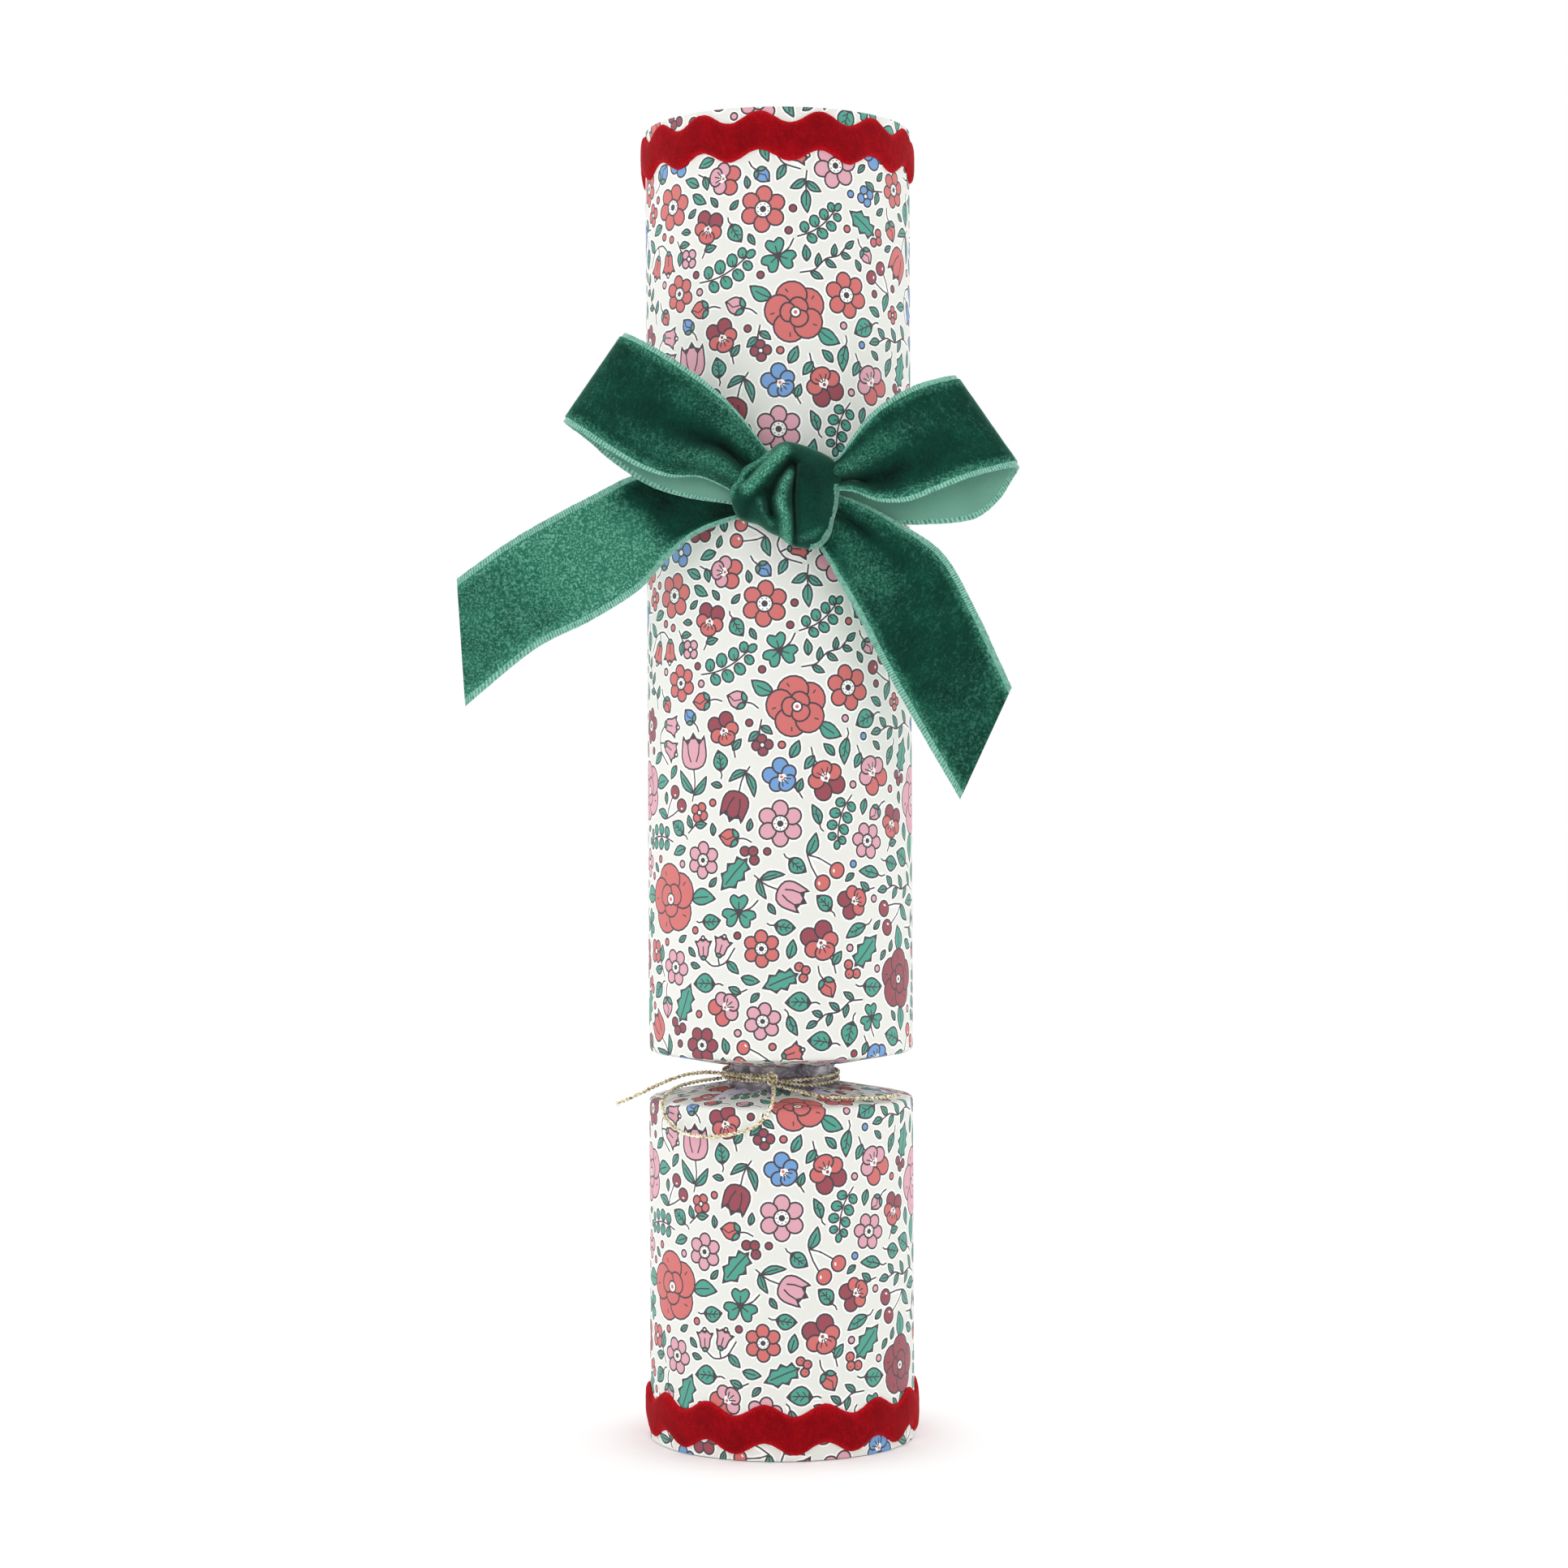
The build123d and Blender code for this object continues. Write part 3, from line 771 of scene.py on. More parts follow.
@painted
def tulip(motif, ink):
    """Cup of three pointed petals on a stem with two blades."""
    motif.stem([(0, 0.4), (0.3, -3.2), (-0.5, -6.6)])
    motif.leaf(-0.1, -4.9, 38, 6.2, 1.9, -0.5)
    motif.leaf(-0.2, -5.3, -42, 5.2, 1.8, 0.5)
    side = [(2.4, 0.7), (3.3, 2.7), (3.1, 5.0), (2.9, 7.0), (2.9, 7.0), (1.6, 5.1), (1.6, 5.1)]
    cup = [(0, 0), *side, (0, 7.6), (0, 7.6), *mirrored(side)]
    motif.shape(ink, curved(cup, steps=2))
    for side in (-1, 1):
        motif.vein([(1.55 * side, 5.1), (1.35 * side, 3.2), (0.7 * side, 1.5)], 0.36)


@painted
def bellflowers(motif, ink):
    """Two bells on an arching stem."""
    side = [(0.5, 0), (1.3, -0.9), (1.55, -2.6), (2.5, -4.3), (2.5, -4.3), (1.5, -4.0)]
    side += [(0.85, -4.75), (0.85, -4.75)]
    bell = curved([*side, (0, -4.15), *mirrored(side)][::-1], steps=2)
    clapper = "coral" if ink == "blue" else "halo"
    motif.stem([(-4.2, -3.4), (-2.6, 0.6), (0.4, 2.2), (3.1, 1.2)])
    motif.stem([(-1.2, 1.7), (-0.6, 0.4), (-0.6, -0.4)])
    motif.leaf(-2.9, 0.2, 58, 4.2, 2.0)
    for x, y, turn in ((-0.5, -0.5, -6), (3.5, 1.1, 14)):
        motif.shape(clapper, moved(oval(0, -4.9, 0.5, count=11), x, y, turn))
        motif.shape(ink, moved(bell, x, y, turn))
        motif.vein(moved([(0, -0.9), (0, -2.9)], x, y, turn))
        motif.shape("green", moved(oval(0, -0.15, 0.75, 0.5, count=11), x, y, turn))


@painted
def cherries(motif, ink):
    """Pair of cherries hung from a leaf."""
    motif.stem([(0.2, 4.6), (-1.2, 2.2), (-2.2, -0.4)])
    motif.stem([(0.2, 4.6), (1.3, 2.2), (1.9, -1.2)])
    motif.leaf(0.2, 4.5, -72, 5.2, 2.3, 0.4)
    for x, y in ((-2.3, -1.9), (1.9, -2.8)):
        motif.shape(ink, oval(x, y, 1.75, 1.65, count=18))
        motif.fill("halo", oval(x - 0.55, y + 0.55, 0.42, 0.24, 40, 7))


@painted
def holly(motif, ink):
    """Spined leaf with berries at its foot."""
    side = [(0.5, 0.9), (1.9, 1.2), (1.9, 1.2), (1.35, 2.6), (2.5, 3.7), (2.5, 3.7)]
    side += [(1.55, 4.9), (2.2, 6.2), (2.2, 6.2), (1.0, 7.0)]
    leaf = [(0, 0), *side, (0, 8.8), (0, 8.8), *mirrored(side)]
    motif.shape("green", curved(leaf, steps=2))
    motif.vein([(0, 0.2), (0.1, 3.8), (0, 7.2)])
    for x, y in ((-1.35, -0.7), (1.35, -0.75), (0.05, -1.9)):
        motif.shape(ink, oval(x, y, 1.0, count=14))
        motif.fill("line", oval(x, y - 0.25, 0.18, count=5))


@painted
def clover(motif, _ink):
    """Trefoil of heart-shaped leaflets."""
    side = [(1.3, 1.2), (1.85, 2.5), (1.1, 3.4)]
    heart = curved([(0, 0), (0, 0), *side, (0, 2.8), (0, 2.8), *mirrored(side)], steps=2)
    motif.stem([(0, 0), (-0.4, -2.4), (0.3, -4.6)])
    for turn in (0, 118, -118):
        motif.shape("green", moved(heart, 0, 0, turn))
        motif.vein(moved([(0, 0.6), (0, 2.0)], 0, 0, turn))


@painted
def eucalyptus(motif, _ink):
    """Arching twig with round leaves in pairs."""
    motif.stem([(-0.6, -7.6), (0.5, -3.8), (0.5, 0.4), (-0.6, 4.6)])
    pairs = [(-5.2, 1.35, 0.2), (-2.2, 1.5, 0.55), (0.9, 1.4, 0.4), (3.6, 1.15, -0.3)]
    for y, size, shift in pairs:
        for side in (-1, 1):
            middle = shift + side * (size + 0.35)
            motif.shape("green", oval(middle, y + 0.5, size, size * 0.85, 24 * side, 10))
            tip = shift + side * (size + 0.3)
            motif.vein([(shift + side * 0.3, y + 0.2), (tip, y + 0.5)], 0.26)
    motif.shape("green", oval(-0.8, 5.7, 0.85, 1.15, 12, 9))


@painted
def sprig(motif, _ink):
    """Three narrow leaves on a short stem."""
    motif.stem([(0, -2.8), (0.2, -0.4), (0, 1.4)])
    motif.leaf(0, 1.0, 4, 4.6, 1.9, 0.2)
    motif.leaf(0.1, -0.6, 60, 3.6, 1.6, 0.2)
    motif.leaf(0.2, -1.0, -58, 3.6, 1.6, -0.2)


@painted
def single_leaf(motif, _ink):
    """Leaf on a stalk."""
    motif.stem([(0, 0.2), (-0.2, -1.0), (0.3, -2.2)])
    motif.leaf(0, 0, 0, 6.2, 2.7, 0.35)
    for y, side in ((2.0, 1), (2.9, -1), (3.8, 1)):
        motif.vein([(0.2, y), (0.2 + 0.75 * side, y + 0.75)], 0.24)


@painted
def laurel(motif, _ink):
    """Broad leaf with side veins."""
    motif.stem([(0, 0.2), (0.2, -1.0), (-0.2, -1.9)])
    motif.shape("green", blade(5.4, 3.9, 0.3, 7))
    motif.vein([(0, 0), (0.25, 2.2), (0.2, 4.2)])
    for y, side in ((1.3, 1), (1.8, -1), (2.6, 1), (3.0, -1)):
        motif.vein([(0.2, y), (0.2 + 0.95 * side, y + 0.8)], 0.26)


@painted
def rosebud(motif, ink):
    """Closed bud in its calyx."""
    motif.stem([(0, -1.0), (0.3, -2.8), (-0.2, -4.4)])
    side = [(1.5, -0.4), (1.6, 1.2)]
    motif.shape(ink, curved([(0, -1.4), *side, (0, 2.9), (0, 2.9), *mirrored(side)]))
    motif.vein([(0.1, 2.3), (-0.5, 1.0), (0.3, -0.3)])
    for turn in (52, -52):
        motif.shape("green", moved(blade(2.5, 1.15, count=5), 0, -1.5, turn))


@painted
def quatrefoil(motif, ink):
    """Small blossom of four round petals."""
    for k in range(4):
        motif.shape(ink, moved(oval(0, 1.42, 1.12, 1.02, count=13), 0, 0, 90 * k))
    motif.shape("halo", oval(0, 0, 0.62, count=11))


@painted
def posy(motif, ink):
    """Small blossom on a stem with two leaves."""
    motif.stem([(0, 0), (0.4, -3.0), (-0.4, -5.8)])
    motif.leaf(0.3, -3.0, -55, 3.4, 1.7, 0.2)
    motif.leaf(0.0, -4.2, 52, 3.2, 1.6, -0.2)
    blossom = quatrefoil(ink, motif.size)
    motif.halos += blossom.halos
    motif.claims += blossom.claims
    motif.layers += blossom.layers


@painted
def vine(motif, _ink):
    """Trailing stem with leaves on alternate sides."""
    motif.stem([(0, -6.5), (1.1, -3.2), (0.2, 0.4), (1.0, 3.6), (0.2, 6.2)])
    leaves = [(0.9, -4.2, -58, 3.4), (0.8, -2.4, 52, 3.2), (0.3, 0.2, -60, 3.2)]
    leaves += [(0.6, 2.2, 50, 3.0), (0.8, 4.4, -48, 2.8), (0.3, 6.0, 8, 3.0)]
    for x, y, turn, length in leaves:
        motif.leaf(x, y, turn, length, 1.5, 0.15)


@painted
def twig(motif, ink):
    """Curled stem with buds."""
    motif.stem([(0, -2.7), (0.5, -0.9), (-0.1, 0.9), (0.3, 2.1)])
    for x, y in ((0.4, 2.7), (-0.95, 0.5), (1.15, -0.8)):
        motif.shape(ink, oval(x, y, 0.62, 0.7, count=10))


@painted
def leaflet(motif, _ink):
    """Small leaf."""
    motif.leaf(0, -1.7, 0, 3.4, 1.7, 0.15)


@painted
def berry(motif, ink):
    """Single berry."""
    motif.shape(ink, oval(0, 0, 0.75, count=13))


class Tile:
    """One repeat of the print, in which each column starts half a repeat above the last."""

    def __init__(self):
        self.taken = set()
        self.placed = []

    def cell(self, x, y):
        """Cell of the repeat under a point."""
        column = math.floor(x / TILE_WIDTH)
        inside = (y - column * TILE_HEIGHT / 2) % TILE_HEIGHT
        return int((x - column * TILE_WIDTH) / CELL), int(inside / CELL)

    def put(self, motif, spread, x, y, turn):
        """Place a motif if nothing is in its way."""
        if any(self.cell(*point) in self.taken for point in moved(spread[:FIRST_LOOK], x, y, turn)):
            return False
        cells = {self.cell(*point) for point in moved(spread, x, y, turn)}
        if cells & self.taken:
            return False
        self.taken |= cells
        self.placed.append(motif.moved(x, y, turn))
        return True

    def holes(self):
        """Bare spots in millimetres, (steps to the nearest motif, x, y), the widest first."""
        columns, rows = math.ceil(TILE_WIDTH), int(TILE_HEIGHT)
        edge = sorted({(i // 2, j // 2) for i, j in self.taken})
        known = set(edge)
        found = []
        steps = 0
        while edge:
            steps += 1
            ring = []
            for i, j in edge:
                for a, b in ((i + 1, j), (i - 1, j), (i, j + 1), (i, j - 1)):
                    turns = a // columns
                    spot = (a - turns * columns, (b - turns * rows // 2) % rows)
                    if spot not in known:
                        known.add(spot)
                        ring.append(spot)
            found += [(steps, i, j) for i, j in ring]
            edge = ring
        return sorted(found, reverse=True)


def shuffled_samples(drawings, chance):
    """Points all over each drawing, in a random order."""
    spreads = [drawing.samples() for drawing in drawings]
    for spread in spreads:
        chance.shuffle(spread)
    return spreads


def lay_out_pattern():
    """Motifs of one repeat: thrown in by size, then small ones in the holes that are left."""
    chance = random.Random(24)
    plan = [
        (camellia, ("coral", "pink", "burgundy"), 5, 500, 1.15, 1.35),
        (tulip, ("coral", "pink", "burgundy"), 5, 900, 0.95, 1.1),
        (anemone, ("coral", "pink", "coral", "burgundy", "pink"), 16, 3000, 0.85, 1.05),
        (vine, ("green",), 6, 2000, 1.0, 1.15),
        (pansy, ("coral", "pink", "blue", "coral"), 12, 3000, 0.9, 1.05),
        (eucalyptus, ("green",), 5, 1500, 0.9, 1.05),
        (bellflowers, ("blue", "pink", "coral"), 6, 2500, 0.95, 1.05),
        (holly, ("coral", "burgundy"), 8, 3000, 1.0, 1.1),
        (cherries, ("coral", "burgundy"), 8, 3000, 0.9, 1.05),
        (clover, ("green",), 8, 3000, 0.95, 1.15),
        (posy, ("coral", "pink", "burgundy", "blue"), 24, 6000, 1.0, 1.25),
    ]
    tile = Tile()
    for maker, inks, wanted, tries, smallest, largest in plan:
        drawings = [maker(ink, size) for size in (smallest, largest) for ink in inks]
        spreads = shuffled_samples(drawings, chance)
        got = 0
        for _ in range(tries):
            pick = got % len(drawings)
            x, y = chance.uniform(0, TILE_WIDTH), chance.uniform(0, TILE_HEIGHT)
            got += tile.put(drawings[pick], spreads[pick], x, y, chance.uniform(0, 360))
            if got == wanted:
                break

    flowers = ("coral", "pink", "burgundy", "coral", "blue")
    fillers = [
        (4, [(posy, 1.15), (sprig, 1.15), (rosebud, 1.1), (quatrefoil, 1.35), (laurel, 1.1)]),
        (3, [(sprig, 0.95), (rosebud, 0.9), (single_leaf, 1.0), (quatrefoil, 1.1), (laurel, 0.9)]),
        (3, [(single_leaf, 0.8), (quatrefoil, 0.85), (twig, 1.1), (leaflet, 1.3)]),
        (2, [(twig, 0.9), (leaflet, 1.1), (leaflet, 0.85), (berry, 1.1)]),
    ]
    for least, choices in fillers:
        drawings = [maker(ink, size) for maker, size in choices for ink in flowers]
        spreads = shuffled_samples(drawings, chance)
        middles = [sum(map(Vector, spread), Vector((0, 0))) / len(spread) for spread in spreads]
        tried = set()
        for steps, i, j in tile.holes():
            if steps < least or (i, j) in tried:
                continue
            tried.update((i + a, j + b) for a in (-1, 0, 1) for b in (-1, 0, 1))
            if tile.cell(i + 0.5, j + 0.5) in tile.taken:
                continue
            for pick in chance.sample(range(len(drawings)), min(len(drawings), 12)):
                turns = [chance.uniform(0, 360) for _ in range(7)]
                middle = [moved([middles[pick]], 0, 0, turn)[0] for turn in turns]
                if any(
                    tile.put(drawings[pick], spreads[pick], i + 0.5 - x, j + 0.5 - y, turn)
                    for turn, (x, y) in zip(turns, middle)
                ):
                    break
    return tile.placed


# Slits below and above a neck: degrees from the front, outer radius and half width
LOW_SLITS = [(-40, 25, 1.9), (30, 23, 1.8), (-9, 20, 0.8)]
LOW_SLITS += [(75, 21, 1.2), (128, 24, 1.6), (-118, 22, 1.3)]
HIGH_SLITS = [(8, 18, 1.3), (-62, 21, 1.5), (95, 20, 1.2), (160, 23, 1.5), (-150, 20, 1.0)]
CRUSHED_RADII = (13.3, 13.5, 14.2, 13.4, 15.4)
SHOULDER_RADII = (14.2, 17, 20, 23, 26, 29)


def slit_wedge(section, first, degrees, outer, half_width):
    """Long thin tear by the neck, as a triangle of the flat sheet."""
    middle = SHEET_WIDTH / 2 + math.radians(degrees) * WRAP_RADIUS
    half = half_width * WRAP_RADIUS / SLIT_INNER
    near = section.start + section.profile.at_radius(SLIT_INNER, first)
    far = section.start + section.profile.at_radius(outer, first)
    wedge = [(middle - half, near), (middle + half, near), (middle, far)]
    return wedge if far > near else wedge[::-1]


def crushed_edges(section, width):
    """Crushed paper in each neck, with an uneven edge where it meets the print."""
    left, right = -2.0, width + 3
    bands = []
    for first in section.necks:
        chance = random.Random(int(section.start) + first)
        end = section.start - 1 if first else section.end + 1
        edge = []
        u = left
        while u < width - left:
            radius = chance.choice(CRUSHED_RADII)
            edge.append((u, section.start + section.profile.at_radius(radius, first)))
            u += chance.uniform(1.6, 4.2)
        edge.append((right, section.start + section.profile.at_radius(SLIT_INNER, first)))
        band = [(left, end), (right, end), *reversed(edge)]
        bands.append(band if first else band[::-1])
    return bands


def sheet_levels(section):
    """Distances along a drum at which its paper bends."""
    profile = section.profile
    levels = set()
    for first, last in profile.bends:
        levels.update(profile.run[k] for k in range(first, last + 1, BEND_STEPS // 2))
    for first in section.necks:
        levels.update(profile.at_radius(radius, first) for radius in SHOULDER_RADII)
        neck = profile.at_radius(NECK_RADIUS + 0.1, first)
        tear = 0.0 if first else profile.length
        levels.update(mix(tear, neck, share) for share in QUARTERS)
    return sorted(levels)


def triangulate(points, edges, outlines):
    """Triangles that keep the edges and outlines: points, faces and where both come from."""
    spots, _, faces, spot_sources, _, face_sources = delaunay_2d_cdt(
        points, edges, outlines, 0, 1e-4, True
    )
    return spots, faces, spot_sources, face_sources


def inked_regions(section, pattern, slits, width):
    """Flat artwork of one drum: points, and faces with the ink that is painted last."""
    points, outlines, inks = [], [], []

    def paint(ink, outline):
        start = len(points)
        points.extend(Vector(point) for point in outline)
        outlines.append(list(range(start, start + len(outline))))
        inks.append(ink)

    low, high, reach = section.start, section.end, MOTIF_REACH
    paint("ground", [(0, low), (width, low), (width, high), (0, high)])
    copies = []
    for column in range(-1, 4):
        for row in range(-2, 5):
            x, y = column * TILE_WIDTH, column * TILE_HEIGHT / 2 + row * TILE_HEIGHT
            for motif in pattern:
                anchor = motif.halos[0][0]
                u, v = anchor[0] + x, anchor[1] + y
                if -reach < u < width + reach and low - reach < v < high + reach:
                    copies.append((motif, x, y))
    for motif, x, y in copies:
        for outline in motif.halos:
            paint("halo", moved(outline, x, y))
    for motif, x, y in copies:
        for ink, outline in motif.layers:
            paint(ink, moved(outline, x, y))
    # The crushed neck band, painted grey, partly as painted shade in the neck
    for zigzag in crushed_edges(section, width):
        paint("neck", zigzag)
    for wedge in slits:
        paint("slit", wedge)
    spots, faces, _, origins = triangulate(points, [], outlines)
    inked = [(face, inks[max(sources)]) for face, sources in zip(faces, origins) if 0 in sources]
    return spots, inked


def straightened(points, edges, slack):
    """Edges without the joints that hardly bend a line."""
    links = {}
    for a, b in edges:
        links.setdefault(a, {})[b] = 0.0
        links.setdefault(b, {})[a] = 0.0
    for k in sorted(links):
        if len(links[k]) != 2:
            continue
        (a, before), (b, after) = links[k].items()
        bent = off_line(*points[k], [points[a], points[b]]) + max(before, after)
        if b not in links[a] and bent < slack:
            del links[a][k], links[b][k], links[k]
            links[a][b] = links[b][a] = bent
    return [(a, b) for a, ends in links.items() for b in ends if a < b]


def flat_layout(section, pattern, slits):
    """Triangles of one printed piece of the sheet: points, faces and the ink of each face."""
    width = SHEET_WIDTH + LAP
    spots, inked = inked_regions(section, pattern, slits, width)
    sides = {}
    for face, ink in inked:
        for a, b in zip(face, face[1:] + face[:1]):
            sides.setdefault((min(a, b), max(a, b)), []).append(ink)
    edges = [edge for edge, found in sides.items() if len(found) == 1 or found[0] != found[1]]
    edges = straightened(spots, edges, INK_SLACK)
    used = sorted({k for edge in edges for k in edge})
    renumber = {old: new for new, old in enumerate(used)}
    points = [spots[k] for k in used]
    edges = [(renumber[a], renumber[b]) for a, b in edges]

    def line(start, end):
        points.extend((Vector(start), Vector(end)))
        edges.append((len(points) - 2, len(points) - 1))

    low, high = section.start, section.end
    for level in sheet_levels(section):
        line((0, low + level), (width, low + level))
    step, count = SHEET_WIDTH / FRONT_COLUMNS, FRONT_COLUMNS + 2
    for k in range(1, count):
        line((k * step, low), (k * step, high))
    for first in section.necks:
        near = low if first else high
        far = low + section.profile.at_radius(WRAP_RADIUS - 1, first)
        for k in range(count):
            for share in QUARTERS:
                u = (k + share) * step
                if u < width:
                    line((u, near), (u, far))

    flat, faces, _, _ = triangulate(points, edges, [])
    tree = BVHTree.FromPolygons([(x, y, 0) for x, y in spots], [face for face, _ in inked])
    colours = []
    for a, b, c in faces:
        x, y = (flat[a] + flat[b] + flat[c]) / 3
        colours.append(inked[tree.find_nearest((x, y, 0))[2]][1])
    return flat, faces, colours


def paper_piece(name, section, pattern, slits, materials):
    """Printed paper of one drum, a closed sheet with its thickness."""
    flat, faces, colours = flat_layout(section, pattern, slits)
    outer = [section.place(u, v) for u, v in flat]
    normals = [section.normal(u, v) for u, v in flat]
    halves = {(face[k], face[(k + 1) % 3]) for face in faces for k in range(3)}
    rim = sorted((a, b) for a, b in halves if (b, a) not in halves)

    edge = sorted({k for pair in rim for k in pair})
    order = {old: new for new, old in enumerate(edge)}
    inside = [flat[k] for k in edge]
    links = [(order[a], order[b]) for a, b in rim]
    length = section.profile.length
    levels = sorted({*sheet_levels(section), 0.6, length - 0.6})
    columns = BACK_COLUMNS + 4
    places = [k * SHEET_WIDTH / BACK_COLUMNS for k in range(1, columns + 1)]
    for i, level in enumerate(levels):
        first = len(inside)
        inside += [Vector((u, section.start + level)) for u in places]
        if i:
            links += [(first + k - columns, first + k) for k in range(columns)]
    back_flat, back_faces, sources, _ = triangulate(inside, links, [])
    base = len(outer)
    back_normals = [section.normal(u, v) for u, v in back_flat]
    back = [section.place(u, v) - normal * PAPER for (u, v), normal in zip(back_flat, back_normals)]
    under = {}
    for k, source in enumerate(sources):
        for first in source:
            if first < len(edge):
                under[edge[first]] = base + k

    def on_sheet(point):
        return point.x / UV_SPAN, (point.y - section.start) / UV_SPAN

    palette = list(materials)
    slots = [palette.index(colour) for colour in colours]
    loops = [tuple(normals[k]) for face in faces for k in face]
    uv = [on_sheet(flat[k]) for face in faces for k in face]
    all_faces = list(faces)
    for face in back_faces:
        turned = [base + k for k in reversed(face)]
        all_faces.append(turned)
        slots.append(palette.index("ground"))
        loops += [tuple(-back_normals[k - base]) for k in turned]
        uv += [on_sheet(back_flat[k - base]) for k in turned]
    points = outer + back
    for a, b in rim:
        quad = [b, a, under[a], under[b]]
        facing = (points[a] - points[b]).cross(points[under[a]] - points[a]).normalized()
        all_faces.append(quad)
        slots.append(palette.index("ground"))
        loops += [tuple(facing)] * 4
        uv += [on_sheet(flat[k]) for k in (b, a, a, b)]
    return build_mesh(name, points, all_faces, list(materials.values()), slots, loops, uv)


def lining_piece(name, section, first, choke, side, material):
    """Lilac lining that follows the gathered shoulder and bunches in the neck."""
    columns = 180
    radii = [30.2, 29, 27, 25, 23, 21, 19, 17, 15, 13.6]
    bunch = [(10.6, 1.4), (10.4, 0.2), (8.4, 0.1), (8.1, 1.2), (8.3, 2.0), (10.8, 2.6)]
    levels = [section.start + section.profile.at_radius(radius, first) for radius in radii]
    points = []
    for k in range(columns):
        u = SHEET_WIDTH * k / columns
        angle = (u - SHEET_WIDTH / 2) / WRAP_RADIUS
        crumple = 0.35 * noise.noise(Vector((6 * math.cos(angle), 6 * math.sin(angle), choke)))
        points += [section.place(u, v, UNDER_PRINT) for v in levels]
        for radius, away in bunch:
            points.append(round_axis(radius + crumple, angle, choke + side * away))
        points += [section.place(u, v, UNDER_PRINT + LINING) for v in reversed(levels)]
    ring = 2 * len(levels) + len(bunch)
    faces = grid_faces(columns, ring, close_rows=True, close_columns=True)
    if side < 0:
        faces = [face[::-1] for face in faces]
    return build_mesh(name, points, faces, [material])


def ricrac_piece(name, centre, material, seed):
    """Wavy velvet braid, domed across and fuzzy at its edges."""
    waves, half, swing, inner, thick = 14, 4.4, 1.325, 31.05, 1.1
    columns, steps = waves * 26, 14
    across = [math.cos(math.pi * k / steps) for k in range(steps + 1)] + [-0.6, 0.0, 0.6]
    points, lay_and_painted_light = [], []
    for i in range(columns):
        angle = math.tau * i / columns - math.pi
        middle = centre + swing * math.cos(waves * (angle + math.radians(7.5)))
        for k, t in enumerate(across):
            tuft = noise.noise(Vector((math.cos(angle) * 38, math.sin(angle) * 38, seed + 3.7 * t)))
            dome = thick * (1 - abs(t) ** 3.5) ** 0.5 if k <= steps else 0.0
            radius = inner + dome + (0.07 * tuft if 0 < k < steps else 0.0)
            height = middle + half * t * (1 + 0.025 * tuft)
            points.append(round_axis(radius, angle, height))
            # Value for the velvet's painted light and shade: lighter towards both edges, plus
            # random tone from the tufts
            lay_and_painted_light.append(0.12 + 0.55 * abs(t) ** 8 + 0.12 * tuft)
    faces = grid_faces(columns, len(across), close_rows=True, close_columns=True)
    return build_mesh(name, points, faces, [material], lay_and_painted_light=lay_and_painted_light)


# Gold cord

CORD = 0.9
CORD_STEP = 0.16
CORD_LAY = 2.2
PLY_OFFSET = CORD * 0.26
PLY_RADIUS = CORD * 0.29
PLY_SIDES = 7
WISPS = 7
WISP_RADIUS = 0.075
CORD_KNOT_DEGREES = -97.5
CORD_LOOP_ROUTE = [
    (-2.0, -15.5, 83.4), (-1.7, -21.5, 83.0), (-1.6, -28.3, 82.1), (-2.2, -33.0, 79.4),
    (-5.2, -33.3, 75.8), (-10.5, -32.0, 73.8), (-16.5, -29.2, 72.8), (-22.4, -24.5, 73.1),
    (-26.6, -19.6, 75.7), (-27.6, -15.6, 79.7), (-25.2, -10.8, 82.1), (-20.5, -7.2, 83.2),
    (-16.2, -4.8, 83.6), (-13.9, -3.3, 83.7),
]
CORD_LEFT_ROUTE = [
    (-2.0, -15.5, 84.4), (-7.4, -14.7, 84.9), (-12.4, -11.2, 85.5), (-17.4, -7.9, 85.7),
    (-23.0, -6.9, 84.9), (-28.4, -7.5, 82.8), (-33.2, -8.4, 80.5), (-37.4, -8.8, 78.7),
]
CORD_RIGHT_ROUTE = [
    (-2.0, -15.5, 83.4), (1.6, -19.4, 82.9), (6.6, -22.8, 81.8), (12.5, -23.7, 81.0),
    (18.4, -22.1, 80.7), (23.4, -18.8, 80.6), (26.2, -16.0, 80.7),
]


def nurbs_line(route):
    """Points of the smooth NURBS line that has the route's points as its control points."""
    curve = bpy.data.curves.new("route", "CURVE")
    curve.dimensions = "3D"
    spline = curve.splines.new("NURBS")
    spline.points.add(len(route) - 1)
    for point, spot in zip(spline.points, route):
        point.co = (spot[0] * MM, spot[1] * MM, spot[2] * MM, 1.0)
    spline.order_u = 3
    spline.use_endpoint_u = True
    spline.resolution_u = 24
    holder = add_object("route", curve)
    graph = bpy.context.evaluated_depsgraph_get()
    mesh = bpy.data.meshes.new_from_object(holder.evaluated_get(graph))
    line = [vertex.co / MM for vertex in mesh.vertices]
    bpy.data.objects.remove(holder)
    bpy.data.curves.remove(curve)
    bpy.data.meshes.remove(mesh)
    return line


def spaced(line, step):
    """The same line with its points evenly spaced."""
    run = [0.0]
    for start, end in zip(line, line[1:]):
        run.append(run[-1] + (end - start).length)
    count = max(int(run[-1] / step), 2)
    result = []
    for k in range(count + 1):
        along = run[-1] * k / count
        i = min(bisect.bisect_right(run, along) - 1, len(line) - 2)
        result.append(mix(line[i], line[i + 1], (along - run[i]) / max(run[i + 1] - run[i], 1e-9)))
    return result


def spoke(first, second, swing):
    """Direction at an angle from the first of two square ones towards the second."""
    return first * math.cos(swing) + second * math.sin(swing)


